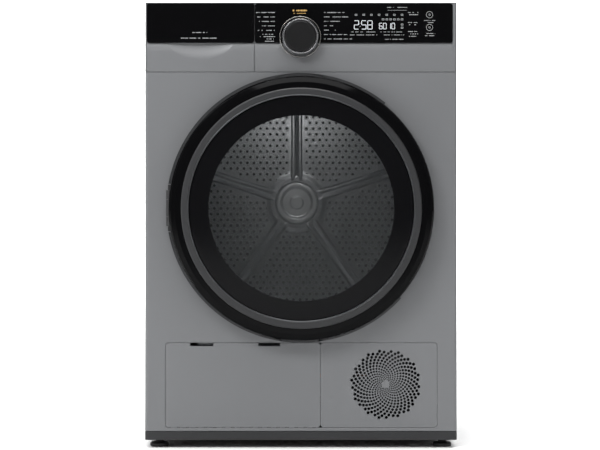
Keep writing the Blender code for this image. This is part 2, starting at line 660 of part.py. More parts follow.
def drum_seals():
    start = DRUM_FRONT
    inner = COLLAR_RADIUS + GAP
    front = [(inner, start), (inner + SEAL_THICK, start), (inner + SEAL_THICK, start + 0.0095),
             (inner, start + 0.0095)]
    part("drum_seal_front", "felt", lathe(front, (0, DOOR_Z)))
    back = REAR - SHEET - GAP
    rear = [(DRUM_RADIUS - 0.018, DRUM_BACK + 0.001), (DRUM_RADIUS - 0.002, DRUM_BACK + 0.001),
            (DRUM_RADIUS - 0.002, back), (DRUM_RADIUS - 0.018, back)]
    part("drum_seal_rear", "felt", lathe(rear, (0, DOOR_Z)))


def door_gasket():
    inner = MOUTH_RADIUS + BULKHEAD_WALL + GAP
    outer = PANEL_HOLE_RADIUS - GAP
    front, back = FRONT - DOOR_GAP + 0.0008, FRONT + BULKHEAD_SETBACK - 0.001
    profile = [(inner, front + 0.001), (inner + 0.001, front), (outer, front), (outer, back), (inner, back)]
    part("door_gasket", "rubber", lathe(profile, (0, DOOR_Z)))


def drum_pieces():
    axis = (0, DOOR_Z)
    pivot = (0, DRUM_FRONT, DOOR_Z)
    lip = COLLAR_RADIUS + GAP + SEAL_THICK + SEAL_CLEARANCE
    s, r = DRUM_SHEET, DRUM_RADIUS
    shell = [(lip, DRUM_FRONT), (lip + s, DRUM_FRONT), (lip + s, DRUM_FRONT + 0.012),
             (r, DRUM_FRONT + 0.019), (r, DRUM_BACK), (r - s, DRUM_BACK), (r - s, DRUM_FRONT + 0.020),
             (lip, DRUM_FRONT + 0.013)]
    part("drum_shell", "steel", lathe(shell, axis), pivot=pivot)
    rim, y = r - s - GAP, REAR_WALL_Y
    cone, bend = r - 0.055, r - 0.035
    wall = [(0, y), (0.080, y), (0.090, y + 0.004), (cone, y + 0.004), (bend, y + 0.012), (rim, y + 0.012),
            (rim, y + 0.0135), (bend - 0.001, y + 0.0135), (cone - 0.001, y + 0.0055), (0, y + 0.0055)]
    ribs = []
    for i in range(5):
        rib = block((0.05, cone - 0.010), (y - 0.002, y + 0.0045), (-0.012, 0.012))
        turn = Matrix.Rotation(-math.radians(90 + 72 * i), 4, "Y")
        rib.transform(Matrix.Translation((0, 0, DOOR_Z)) @ turn)
        ribs.append(rib)
    part("drum_rear_wall", "steel", lathe(wall, axis), add=ribs, pivot=pivot)
    back = y + 0.0055 + GAP
    shaft = [(0, back), (HUB_RADIUS, back), (HUB_RADIUS, back + 0.002), (0.014, back + 0.003),
             (0.014, REAR - SHEET - 0.005), (DRUM_SHAFT_RADIUS, REAR - SHEET - 0.005),
             (DRUM_SHAFT_RADIUS, REAR + 0.0195), (0, REAR + 0.0195)]
    part("drum_shaft", "steel", lathe(shaft, axis, sides=MID_ROUND), pivot=pivot)
    for i in range(LIFTER_COUNT):
        angle = math.radians(60 + 360 * i / LIFTER_COUNT)
        half, inside = LIFTER_HALF_WIDTH, DRUM_RADIUS - DRUM_SHEET - 0.001
        root = math.sqrt(inside ** 2 - half ** 2) - 0.001
        tip = inside - LIFTER_HEIGHT
        outline = [(root, -half), (tip + 0.010, -0.012), (tip, -0.004), (tip, 0.004), (tip + 0.010, 0.012),
                   (root, half)]
        lifter = prism(outline, DRUM_FRONT + 0.030, REAR_WALL_Y - 0.010)
        lifter.transform(Matrix.Translation((0, 0, DOOR_Z)) @ Matrix.Rotation(-angle, 4, "Y"))
        part("drum_lifter_%d" % (i + 1), "inner_plastic", lifter, pivot=pivot)


def support_rollers():
    for name, side in (("left", -1), ("right", 1)):
        spot = (side * ROLLER_X, ROLLER_Z)
        bore, back = AXLE_RADIUS + 0.0006, ROLLER_FRONT + ROLLER_WIDTH
        profile = [(bore, ROLLER_FRONT), (ROLLER_RADIUS - 0.001, ROLLER_FRONT),
                   (ROLLER_RADIUS, ROLLER_FRONT + 0.001), (ROLLER_RADIUS, back - 0.001),
                   (ROLLER_RADIUS - 0.001, back), (bore, back)]
        part("support_roller_" + name, "rubber", lathe(profile, spot, sides=MID_ROUND),
             pivot=(spot[0], ROLLER_FRONT, spot[1]))


# ---- door ----
def proud(profile):
    """Profile stations given as heights in front of the front panel."""
    return [(radius, FRONT - height) for radius, height in profile]


def door_ring():
    w, shelf = DOOR_WALL, WINDOW_EDGE - 0.0065
    face_in, back = TRIM_OUTER + GAP, DOOR_GAP
    profile = [(DOOR_RADIUS, back), (DOOR_FACE_RADIUS, DOOR_RIM), (DOOR_FACE_RADIUS - 0.002, DOOR_RIM + w),
               (face_in, DOOR_RIM + 0.0065), (face_in, shelf), (TRIM_OUTER - TRIM_WIDTH - 0.0025, shelf),
               (TRIM_OUTER - TRIM_WIDTH - 0.0025, shelf - w), (DOOR_FACE_RADIUS - 0.006, shelf - w),
               (DOOR_RADIUS - w, back)]
    grip = grip_sector(DOOR_FACE_RADIUS - 0.001, DOOR_RADIUS + 0.01)
    hinge = block((HINGE_X - 0.02, HINGE_X + 0.018), (FRONT - shelf + w, FRONT + 0.01),
                  (DOOR_Z - HINGE_HALF - 0.002, DOOR_Z + HINGE_HALF + 0.002))
    part("door_ring", "gloss_black", lathe(proud(profile), (0, DOOR_Z), sides=DOOR_ROUND),
         cut=[grip, hinge], pivot=(HINGE_X, HINGE_Y, DOOR_Z))


def grip_sector(inner, outer):
    """The stretch of the side wall that is cut back so that fingers reach behind the rim."""
    outline = []
    steps = 14
    for radius, order in ((inner - 0.01, range(steps + 1)), (outer, range(steps, -1, -1))):
        for i in order:
            angle = math.radians(GRIP_FROM + (GRIP_TO - GRIP_FROM) * i / steps)
            outline.append((radius * math.cos(angle), DOOR_Z + radius * math.sin(angle)))
    return prism(outline, FRONT - DOOR_RIM + 0.007, FRONT + 0.01)


def door_pieces():
    axis, pivot = (0, DOOR_Z), (HINGE_X, HINGE_Y, DOOR_Z)
    trim_in = TRIM_OUTER - TRIM_WIDTH
    seat = WINDOW_EDGE - 0.006
    trim = [(TRIM_OUTER, seat), (TRIM_OUTER, DOOR_RIM + 0.006), (TRIM_OUTER - 0.0025, DOOR_RIM + 0.008),
            (trim_in + 0.002, DOOR_RIM + 0.008), (trim_in, DOOR_RIM + 0.0065), (trim_in, seat)]
    part("door_trim_ring", "satin_trim", lathe(proud(trim), axis, sides=DOOR_ROUND), pivot=pivot)
    edge, t = trim_in - 0.0008, WINDOW_THICK
    window = [(0, DOOR_PROUD), (0.060, DOOR_PROUD - 0.0005), (0.120, DOOR_PROUD - 0.0022),
              (BOWL_RADIUS, DOOR_PROUD - 0.0050), (edge, WINDOW_EDGE), (edge, seat),
              (BOWL_RADIUS, DOOR_PROUD - 0.0050 - t), (0.120, DOOR_PROUD - 0.0022 - t),
              (0.060, DOOR_PROUD - 0.0005 - t), (0, DOOR_PROUD - t)]
    part("door_window", "smoked_glass", lathe(proud(window), axis), pivot=pivot)
    outer, bore, w = INNER_FRAME_RADIUS, INNER_FRAME_BORE, FRAME_WALL
    top, back = WINDOW_EDGE - 0.0100, DOOR_GAP
    frame = [(outer, back), (outer, top), (outer - w, top), (outer - w, back + w), (bore + w, back + w),
             (bore + w, top), (bore, top), (bore, back)]
    part("door_inner_frame", "dark_grey", lathe(proud(frame), axis), pivot=pivot)
    g, d = GLASS, -BOWL_DEPTH
    r = BOWL_RADIUS
    bowl = [(0, d), (r - 0.055, d), (r - 0.017, d + 0.005), (r - 0.007, d + 0.017), (r + 0.003, 0.015),
            (bore - GAP, 0.016), (bore - GAP, 0.020), (r, 0.020), (r - 0.011, d + 0.019),
            (r - 0.020, d + 0.009), (r - 0.057, d + g), (0, d + g)]
    part("door_bowl", "smoked_glass", lathe(proud(bowl), axis), pivot=pivot)


def hinge_pieces():
    axis, pivot = (HINGE_X, HINGE_Y), (HINGE_X, HINGE_Y, DOOR_Z)
    arm_half, r = KNUCKLE_HALF, KNUCKLE_RADIUS
    reach = -math.sqrt(INNER_FRAME_RADIUS ** 2 - 0.0) - 0.0005
    arm = block((HINGE_X + HINGE_PIN + 0.001, reach), (HINGE_Y, HINGE_Y + 0.004),
                (DOOR_Z - arm_half, DOOR_Z + arm_half))
    part("door_hinge_arm", "matt_black",
         rod(axis, r, DOOR_Z - arm_half, DOOR_Z + arm_half, "Z"), add=[arm],
         cut=[rod(axis, HINGE_PIN + HINGE_RUN, DOOR_Z - 1, DOOR_Z + 1, "Z")], pivot=pivot)
    plate_y = (FRONT - 0.0023, FRONT - 0.0003)
    plate = block((HINGE_X - 0.0035, HINGE_X + 0.031), plate_y, (DOOR_Z - HINGE_HALF, DOOR_Z + HINGE_HALF))
    adds = [rod(axis, HINGE_PIN, DOOR_Z - 0.030, DOOR_Z + 0.030, "Z")]
    for side in (-1, 1):
        ends = sorted((DOOR_Z + side * (arm_half + GAP), DOOR_Z + side * (arm_half + 0.018)))
        adds.append(rod(axis, r, ends[0], ends[1], "Z"))
        adds.append(block((HINGE_X + 0.0005, HINGE_X + r - 0.0004), (HINGE_Y - 0.001, plate_y[0] + 0.001),
                          (ends[0] + 0.0006, ends[1] - 0.0006)))
    part("hinge_bracket", "matt_black", plate, add=adds)


def latch_pieces():
    x, tip = LATCH_X, FRONT + LATCH_REACH
    back = FRONT - DOOR_GAP + 0.0003
    hook = [(x - 0.004, back), (x + 0.004, back), (x + 0.004, tip - 0.008), (x + 0.006, tip - 0.006),
            (x + 0.004, tip), (x - 0.004, tip)]
    part("door_latch", "matt_black", prism(hook, DOOR_Z - 0.006, DOOR_Z + 0.006, "Z"),
         pivot=(HINGE_X, HINGE_Y, DOOR_Z))
    y = (FRONT + SHEET + GAP, FRONT + 0.030)
    part("latch_receiver", "matt_black",
         block((x - 0.0115, x + 0.0120), y, (DOOR_Z - 0.020, DOOR_Z + 0.020)),
         cut=[block((x - 0.0095, x + 0.0100), (FRONT - 1, y[1] - 0.004), (DOOR_Z - 0.010, DOOR_Z + 0.010))])


def lint_filter():
    x = FILTER_HALF_WIDTH
    y = (FRONT + FILTER_FRONT, FRONT + FILTER_FRONT + FILTER_THICK)
    top = DOOR_Z - math.sqrt(MOUTH_RADIUS ** 2 - x ** 2)
    w = FILTER_WALL
    mouth = rod((0, DOOR_Z), MOUTH_RADIUS + GAP, y[0] - 0.01, y[1] + 0.01, sides=ROUND)
    inside = block((-x + w, x - w), (y[0] + w, y[1] - w), (FILTER_BOTTOM + w, top + 0.05))
    part("lint_filter", "inner_plastic", block((-x, x), y, (FILTER_BOTTOM, top)), cut=[mouth, inside],
         pivot=(0, y[0], FILTER_BOTTOM))


# ---- drive ----
def drive_pieces():
    spot, length = (MOTOR_X, MOTOR_Z), MOTOR_LENGTH
    front, back = MOTOR_FRONT, MOTOR_FRONT + length
    s = MOTOR_SHAFT_RADIUS
    foot = block((MOTOR_X - 0.045, MOTOR_X + 0.045), (front + 0.02, back - 0.02),
                 (TRAY_INSIDE + GAP, MOTOR_Z - 0.03))
    pivot_x, pivot_z = idler_pivot()
    bracket = block((MOTOR_X + 0.02, pivot_x + 0.012), (front + 0.004, front + 0.010),
                    (pivot_z - 0.015, pivot_z + 0.015))
    part("drive_motor", "zinc", rod(spot, MOTOR_RADIUS, front, back, sides=MID_ROUND), add=[foot, bracket],
         cut=[rod(spot, s + 0.0006, front - 1, back + 1),
              rod((pivot_x, pivot_z), 0.0046, front - 1, front + 0.02)])
    y = BELT_Y
    shaft = [(0, y - 0.009), (PULLEY_RADIUS + 0.003, y - 0.009), (PULLEY_RADIUS + 0.003, y - 0.0065),
             (PULLEY_RADIUS, y - 0.0065), (PULLEY_RADIUS, y + 0.0065), (PULLEY_RADIUS + 0.003, y + 0.0065),
             (PULLEY_RADIUS + 0.003, y + 0.009), (s, y + 0.009), (s, FAN_BACK), (0, FAN_BACK)]
    part("motor_shaft", "steel", lathe(shaft, spot, sides=SMALL_ROUND), pivot=(MOTOR_X, y, MOTOR_Z))


def blower_wheel():
    front, back = FAN_BACK - FAN_WIDTH, FAN_BACK - 0.003
    hub = MOTOR_SHAFT_RADIUS + GAP
    disc = [(hub, back - 0.002), (FAN_RADIUS, back - 0.002), (FAN_RADIUS, back), (hub + 0.006, back),
            (hub + 0.006, back + 0.001), (hub, back + 0.001)]
    blades = []
    for i in range(FAN_BLADES):
        blade = block((FAN_RADIUS - 0.018, FAN_RADIUS - 0.001), (front, back - 0.001), (-0.001, 0.001))
        turn = Matrix.Rotation(-2 * math.pi * i / FAN_BLADES, 4, "Y")
        blade.transform(Matrix.Translation((MOTOR_X, 0, MOTOR_Z)) @ turn)
        blades.append(blade)
    part("blower_wheel", "matt_black", lathe(disc, (MOTOR_X, MOTOR_Z), sides=MID_ROUND), add=blades,
         pivot=(MOTOR_X, BELT_Y, MOTOR_Z))
    w, inner = FAN_WALL, FAN_RADIUS + FAN_CLEARANCE
    y0, y1 = front - 0.004, REAR - SHEET - GAP
    shell = [(inner + w, y0 - w), (inner + w, y1), (inner, y1), (inner, y0), (0.045, y0), (0.045, y0 - w)]
    part("fan_housing", "inner_plastic", lathe(shell, (MOTOR_X, MOTOR_Z), sides=MID_ROUND))


def drum_belt():
    half = BELT_WIDTH / 2
    drum, pulley = DRUM_RADIUS + BELT_GAP, PULLEY_RADIUS + 0.0008
    centre, small = (0, DOOR_Z), (MOTOR_X, MOTOR_Z)
    outer = loop_outline(centre, drum + BELT_THICK, small, pulley + BELT_THICK, 24)
    inner = loop_outline(centre, drum, small, pulley, 24)
    part("drum_belt", "rubber", prism(outer, BELT_Y - half, BELT_Y + half),
         cut=[prism(inner, BELT_Y - 1, BELT_Y + 1)])


def idler_spot():
    """The tensioner pulley's centre, pressing on the middle of the belt's right-hand run."""
    drum, pulley = DRUM_RADIUS + BELT_GAP + BELT_THICK, PULLEY_RADIUS + 0.0008 + BELT_THICK
    reach = Vector((MOTOR_X, MOTOR_Z - DOOR_Z))
    angle = math.atan2(reach.y, reach.x) + math.acos((drum - pulley) / reach.length)
    normal = Vector((math.cos(angle), math.sin(angle)))
    middle = (Vector((0, DOOR_Z)) + drum * normal + Vector((MOTOR_X, MOTOR_Z)) + pulley * normal) / 2
    return middle + (IDLER_RADIUS + 0.001) * normal


def idler_pivot():
    spot = idler_spot()
    return (spot.x, spot.y - IDLER_ARM)


def idler_pieces():
    spot, (px, pz) = idler_spot(), idler_pivot()
    arm_y = (BELT_Y + 0.0085, BELT_Y + 0.0125)
    arm = prism(loop_outline((spot.x, spot.y), 0.0081, (px, pz), 0.008, 10), arm_y[0], arm_y[1])
    pin = rod((px, pz), 0.004, arm_y[0] + 0.001, MOTOR_FRONT + 0.012)
    axle = rod((spot.x, spot.y), 0.004, BELT_Y - 0.009, arm_y[0] + 0.001)
    part("idler_arm", "zinc", arm, add=[pin, axle], pivot=(px, BELT_Y, pz))
    y, r = BELT_Y, IDLER_RADIUS
    pulley = [(0.0045, y - 0.0075), (r, y - 0.0075), (r, y + 0.0075), (0.0045, y + 0.0075)]
    part("idler_pulley", "matt_black", lathe(pulley, (spot.x, spot.y), sides=MID_ROUND),
         pivot=(spot.x, BELT_Y, spot.y))


# ---- heat pump ----
def comb(left, right, bottom, top):
    """Fins hanging from a thin top plate, as seen along the air flow."""
    pitch = (right - left) / (FIN_COUNT - 0.5)
    points = [(left, top), (left, bottom)]
    for i in range(FIN_COUNT):
        x = left + i * pitch
        points.append((x + pitch / 2, bottom))
        if i < FIN_COUNT - 1:
            points += [(x + pitch / 2, top - 0.004), (x + pitch, top - 0.004), (x + pitch, bottom)]
    return points + [(right, top)]


def heat_pump():
    w, m = CHAMBER_WALL, EXCHANGER_MARGIN
    floor = TRAY_INSIDE + GAP
    start = FRONT + CHAMBER_FRONT
    inner_left, inner_right, ceiling = CHAMBER_LEFT + w, CHAMBER_RIGHT - w, CHAMBER_TOP - w
    outline = [(CHAMBER_LEFT, floor), (inner_left, floor), (inner_left, ceiling), (inner_right, ceiling),
               (inner_right, floor), (CHAMBER_RIGHT, floor), (CHAMBER_RIGHT, CHAMBER_TOP),
               (CHAMBER_LEFT, CHAMBER_TOP)]
    condenser_from = FRONT + EVAPORATOR_FROM + EVAPORATOR_LENGTH + EXCHANGER_SPACE
    pipe_y, pipe_z = condenser_from + 0.020, 0.120
    part("duct_lid", "inner_plastic", prism(outline, start, start + CHAMBER_LENGTH),
         cut=[lathe_x((pipe_y, pipe_z), PIPE_RADIUS + 0.003, CHAMBER_RIGHT - 0.01, CHAMBER_RIGHT + 0.01)])
    fins = (inner_left + m, inner_right - m, floor, ceiling - m)
    part("evaporator", "fins", prism(comb(*fins), FRONT + EVAPORATOR_FROM,
                                     FRONT + EVAPORATOR_FROM + EVAPORATOR_LENGTH))
    part("condenser", "fins", prism(comb(*fins), condenser_from, condenser_from + CONDENSER_LENGTH))
    part("exchanger_cover", "inner_plastic",
         block((CHAMBER_LEFT + 0.004, CHAMBER_RIGHT - 0.006), (FRONT + 0.018, FRONT + 0.026),
               (TRAY_TOP + 0.008, CHAMBER_TOP - 0.003)),
         cut=[block((x - 0.012, x + 0.012), (FRONT, FRONT + 0.022), (0.115, 0.145)) for x in (-0.21, -0.02)])
    r, y = COMPRESSOR_RADIUS, FRONT + COMPRESSOR_FROM
    top = floor + 0.028 + COMPRESSOR_HEIGHT
    shell = [(0, top), (r * 0.55, top - 0.004), (r, top - 0.020), (r, floor + 0.028),
             (r * 0.6, floor + 0.016), (r * 0.6, floor), (0, floor)]
    part("compressor", "matt_black", lathe(shell, (COMPRESSOR_X, y), "Z", MID_ROUND))
    start_x, end_x = inner_right - m + 0.001, COMPRESSOR_X - math.sqrt(r ** 2 - (pipe_y - y) ** 2) - 0.0012
    middle = (start_x + end_x) / 2
    route = [(start_x, 0), (start_x + 0.022, 0), (middle - 0.008, 0.010), (middle + 0.008, 0.010),
             (end_x - 0.012, 0), (end_x, 0)]
    tube("refrigerant_pipe", "copper", [(x, pipe_y, pipe_z + rise) for x, rise in route], PIPE_RADIUS)
    part("condensate_pump", "matt_black",
         lathe([(0, floor), (0.020, floor), (0.020, 0.060), (0.012, 0.064), (0.012, 0.078), (0, 0.078)],
               (0.070, y + 0.205), "Z", SMALL_ROUND))
    part("power_board", "matt_black",
         block((0.050, 0.270), (FRONT + 0.060, FRONT + 0.220), (BAND_BOTTOM + 0.035, TOP_BOTTOM - 0.008)))


def tube(name, finish, points, radius):
    """A pipe through its route's points, with closed ends."""
    curve = bpy.data.curves.new(name, "CURVE")
    curve.dimensions = "3D"
    curve.bevel_depth = radius
    curve.bevel_resolution = 2
    curve.use_fill_caps = True
    spline = curve.splines.new("POLY")
    spline.points.add(len(points) - 1)
    for point, place in zip(spline.points, points):
        point.co = (*place, 1.0)
    curve.materials.append(material(name, finish))
    obj = bpy.data.objects.new(name, curve)
    bpy.context.scene.collection.objects.link(obj)


# ---- lower front ----
def service_flap():
    g, w = FLAP_GAP, FLAP_WALL
    low, high = (LOWER_LEFT + g / 2, FLAP_BOTTOM), (FLAP_SPLIT - g / 2, LOWER_TOP - g / 2)
    inside = block((low[0] + w, high[0] - w), (FRONT + w, FRONT + 1), (low[1] + w, high[1] - w))
    axis = (FLAP_AXIS_Y, FLAP_AXIS_Z)
    barrel = lathe_x(axis, 0.0035, low[0] + 0.0005, high[0] - 0.0005)
    pin = lathe_x(axis, FLAP_PIN, LOWER_LEFT - 0.004, FLAP_SPLIT + 0.004)
    part("service_flap", "body_grey", prism(rounded(low, high, LOWER_CORNER - g), FRONT, FRONT + FLAP_THICK),
         cut=[inside], add=[barrel, pin], pivot=((low[0] + high[0]) / 2, FLAP_AXIS_Y, FLAP_AXIS_Z))


def grille_panel():
    g, t = FLAP_GAP, GRILLE_THICK
    low, high = (FLAP_SPLIT + g / 2, FLAP_BOTTOM), (LOWER_RIGHT - g / 2, LOWER_TOP - g / 2)
    outline = rounded(low, high, LOWER_CORNER - g)
    rim = [(low[0] + 0.004, low[1] + 0.004), (high[0] - 0.004, high[1] - 0.004)]
    golden = math.pi * (3 - math.sqrt(5))
    holes = []
    for i in range(GRILLE_HOLES):
        radius = GRILLE_RADIUS * math.sqrt((i + 1.5) / (GRILLE_HOLES + 1))
        spot = (GRILLE_X + radius * math.cos(i * golden), GRILLE_Z + radius * math.sin(i * golden))
        holes.append(rod(spot, GRILLE_HOLE, FRONT - 0.01, FRONT + 0.01, sides=6))
    ear_x = FLAP_SPLIT + 0.0015
    ear = block((ear_x, ear_x + 0.003), (FRONT + t / 2, FRONT + 0.010),
                (FLAP_BOTTOM + 0.0005, FLAP_BOTTOM + 0.0125))
    back = prism([rim[0], (rim[1][0], rim[0][1]), rim[1], (rim[0][0], rim[1][1])], FRONT + t, FRONT + 0.1)
    obj = part("grille_panel", "body_grey", prism(outline, FRONT, FRONT + 0.008), cut=[back] + holes)
    combine(obj, [ear], "UNION")
    combine(obj, [lathe_x((FLAP_AXIS_Y, FLAP_AXIS_Z), FLAP_PIN + 0.0006, FLAP_SPLIT, FLAP_SPLIT + 0.0065)],
            "DIFFERENCE")


def build():
    for obj in list(bpy.data.objects):
        bpy.data.objects.remove(obj)
    base_tray()
    levelling_feet()
    side_panels()
    front_panel()
    rear_panel()
    rear_cover()
    cable_gland()
    top_panel()
    control_fascia()
    control_glass()
    program_knob()
    tank_drawer()
    tank_housing()
    front_bulkhead()
    drum_seals()
    door_gasket()
    drum_pieces()
    support_rollers()
    door_ring()
    door_pieces()
    hinge_pieces()
    latch_pieces()
    lint_filter()
    drive_pieces()
    blower_wheel()
    drum_belt()
    idler_pieces()
    heat_pump()
    service_flap()
    grille_panel()


build()
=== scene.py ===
import json
import math
import random

import bmesh
import bpy
from mathutils import Matrix, Vector

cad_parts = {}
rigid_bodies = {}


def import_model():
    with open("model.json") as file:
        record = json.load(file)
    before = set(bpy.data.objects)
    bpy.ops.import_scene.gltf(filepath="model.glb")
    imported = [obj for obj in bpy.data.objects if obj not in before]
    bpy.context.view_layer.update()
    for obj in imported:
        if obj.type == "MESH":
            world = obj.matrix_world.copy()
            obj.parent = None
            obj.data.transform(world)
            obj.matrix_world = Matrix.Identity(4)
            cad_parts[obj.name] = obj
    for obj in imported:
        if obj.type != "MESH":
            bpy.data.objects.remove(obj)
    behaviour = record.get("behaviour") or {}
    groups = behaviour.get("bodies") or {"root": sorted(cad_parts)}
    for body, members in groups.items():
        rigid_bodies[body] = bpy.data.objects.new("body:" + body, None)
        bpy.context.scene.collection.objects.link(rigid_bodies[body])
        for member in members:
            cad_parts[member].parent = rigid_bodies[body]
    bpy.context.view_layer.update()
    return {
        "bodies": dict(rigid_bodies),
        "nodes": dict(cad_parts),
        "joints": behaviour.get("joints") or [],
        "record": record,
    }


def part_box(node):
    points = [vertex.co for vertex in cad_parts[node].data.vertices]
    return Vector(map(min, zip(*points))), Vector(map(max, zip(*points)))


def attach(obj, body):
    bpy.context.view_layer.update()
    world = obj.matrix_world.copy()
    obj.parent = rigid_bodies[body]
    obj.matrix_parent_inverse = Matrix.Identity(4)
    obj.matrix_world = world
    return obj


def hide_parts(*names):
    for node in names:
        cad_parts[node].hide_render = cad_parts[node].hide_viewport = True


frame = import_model()
nodes = frame["nodes"]
print("frame loaded:", len(nodes), "nodes")

# places that every piece shares, all read from the frame
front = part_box("front_panel")[0].y                                  # the front panel's face
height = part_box("control_fascia")[1].z
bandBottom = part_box("control_fascia")[0].z
ringLow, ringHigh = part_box("door_ring")
doorRadius = (ringHigh.z - ringLow.z) / 2
doorZ = (ringHigh.z + ringLow.z) / 2
knobLow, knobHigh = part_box("knob_ring")
knobX, knobZ = (knobLow.x + knobHigh.x) / 2, (knobLow.z + knobHigh.z) / 2
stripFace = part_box("control_glass")[0].y


# ---- shader tools ----
class Wire:
    # a socket or a number in a material, so that masks are written as sums and products
    def __init__(self, mat, socket):
        self.mat = mat
        self.socket = socket

    def math(self, operation, other=0.0, third=None, swap=False):
        a, b = (other, self) if swap else (self, other)
        values = [a, b] if third is None else [a, b, third]
        return self.mat.node("ShaderNodeMath", {"operation": operation}, *values)

    def __add__(self, other):
        return self.math("ADD", other)

    def __radd__(self, other):
        return self.math("ADD", other)

    def __sub__(self, other):
        return self.math("SUBTRACT", other)

    def __rsub__(self, other):
        return self.math("SUBTRACT", other, swap=True)

    def __mul__(self, other):
        return self.math("MULTIPLY", other)

    def __rmul__(self, other):
        return self.math("MULTIPLY", other)

    def __truediv__(self, other):
        return self.math("DIVIDE", other)

    def __gt__(self, other):
        return self.math("GREATER_THAN", other)

    def __lt__(self, other):
        return self.math("LESS_THAN", other)

    def __pow__(self, other):
        return self.math("POWER", other)

    def __abs__(self):
        return self.math("ABSOLUTE")


class Sheet:
    # a node tree and the one way that nodes are added to it
    def __init__(self, tree):
        self.tree = tree

    def node(self, kind, settings=None, *values, output=0, **named):
        made = self.tree.nodes.new(kind)
        for key, value in (settings or {}).items():
            if key == "stops":
                self.fillRamp(made.color_ramp, value)
            else:
                setattr(made, key, value)
        pairs = list(enumerate(values)) + [(key.replace("_", " "), value) for key, value in named.items()]
        for key, value in pairs:
            self.plug(made.inputs[key], value)
        return Wire(self, made.outputs[output])

    def plug(self, socket, value):
        if isinstance(value, Wire):
            self.tree.links.new(value.socket, socket)
        elif value is not None:
            socket.default_value = value

    def fillRamp(self, ramp, stops):
        for i, (place, shade) in enumerate(stops):
            stop = ramp.elements[i] if i < 2 else ramp.elements.new(place)
            stop.position = place
            stop.color = (*shade, 1) if isinstance(shade, tuple) else (shade, shade, shade, 1)


class Finish(Sheet):
    # one material, with the few nodes that most of them use
    def __init__(self, name, tone, roughness, metallic=0.0, **sockets):
        self.material = bpy.data.materials.new(name)
        self.material.use_nodes = True
        super().__init__(self.material.node_tree)
        self.shader = self.tree.nodes["Principled BSDF"]
        self.coords = None
        self.material.diffuse_color = (*tone, 1)
        self.set("Base Color", (*tone, 1))
        self.set("Roughness", roughness)
        self.set("Metallic", metallic)
        for socket, value in sockets.items():
            self.set(socket.replace("_", " "), value)

    def set(self, socket, value):
        self.plug(self.shader.inputs[socket], value)

    def place(self, scale=(1, 1, 1), offset=(0, 0, 0)):
        if self.coords is None:
            made = self.tree.nodes.new("ShaderNodeTexCoord")
            self.coords = Wire(self, made.outputs["Object"])
        if scale == (1, 1, 1) and offset == (0, 0, 0):
            return self.coords
        return self.node("ShaderNodeMapping", None, self.coords, Location=offset, Scale=scale)

    def axes(self, offset=(0, 0, 0)):
        split = self.node("ShaderNodeSeparateXYZ", None, self.place((1, 1, 1), offset))
        return [Wire(self, split.socket.node.outputs[i]) for i in range(3)]

    def noise(self, scale, detail=3.0, stretch=(1, 1, 1), rough=0.5):
        return self.node("ShaderNodeTexNoise", None, self.place(stretch), Scale=scale, Detail=detail,
                         Roughness=rough)

    def ramp(self, value, stops):
        return self.node("ShaderNodeValToRGB", {"stops": stops}, value)

    def mixed(self, factor, low, high):
        made = self.tree.nodes.new("ShaderNodeMix")
        made.data_type = "RGBA"
        for index, value in ((0, factor), (6, low), (7, high)):
            self.plug(made.inputs[index], (*value, 1) if isinstance(value, tuple) else value)
        return Wire(self, made.outputs[2])

    def bump(self, relief, strength, distance=0.001):
        self.set("Normal", self.node("ShaderNodeBump", None, strength, distance, Height=relief))


class Recipe(Sheet):
    # a Geometry Nodes tree whose sizes are named inputs; run() gives its result as a plain mesh
    def __init__(self, name, **inputs):
        super().__init__(bpy.data.node_groups.new(name, "GeometryNodeTree"))
        kinds = {float: "NodeSocketFloat", int: "NodeSocketInt", tuple: "NodeSocketVector"}
        self.ids = {}
        self.tree.interface.new_socket(name="Geometry", in_out="OUTPUT", socket_type="NodeSocketGeometry")
        self.tree.interface.new_socket(name="Geometry", in_out="INPUT", socket_type="NodeSocketGeometry")
        for key, value in inputs.items():
            kind = kinds.get(type(value), value)
            made = self.tree.interface.new_socket(name=key, in_out="INPUT", socket_type=kind)
            self.ids[key] = made.identifier
            if kind != value:
                made.default_value = value
        self.source = self.tree.nodes.new("NodeGroupInput")

    def value(self, name):
        return Wire(self, self.source.outputs[name])

    def close(self, geometry, material):
        whole = self.node("GeometryNodeRealizeInstances", None, geometry)
        painted = self.node("GeometryNodeSetMaterial", None, whole, Material=material)
        result = self.tree.nodes.new("NodeGroupOutput")
        self.tree.links.new(painted.socket, result.inputs[0])

    def run(self, mesh=None, **values):
        holder = bpy.data.objects.new("holder", mesh or bpy.data.meshes.new("start"))
        bpy.context.scene.collection.objects.link(holder)
        modifier = holder.modifiers.new("shape", "NODES")
        modifier.node_group = self.tree
        for key, value in values.items():
            modifier[self.ids[key]] = value
        view = bpy.context.evaluated_depsgraph_get()
        result = bpy.data.meshes.new_from_object(holder.evaluated_get(view))
        bpy.data.objects.remove(holder)
        return result


# ---- materials ----
def sprayedGrey(name, tone, grain):
    # silver-grey satin paint: slow tone drift, fine orange peel and metallic fleck
    look = Finish(name, tone, 0.42, 0.18, Coat_Weight=0.12, Coat_Roughness=0.35)
    drift = look.noise(2.2, 2.0)
    fleck = look.noise(grain["fleck"], 1.0)
    peel = look.noise(grain["peel"], 2.0)
    shade = look.ramp(drift * 0.75 + fleck * 0.25, [(0.32, tuple(c * 0.94 for c in tone)),
                                                   (0.68, tuple(c * 1.05 for c in tone))])
    look.set("Base Color", shade)
    look.set("Roughness", 0.36 + fleck * 0.10)
    look.bump(peel, grain["strength"], 0.0004)
    return look.material


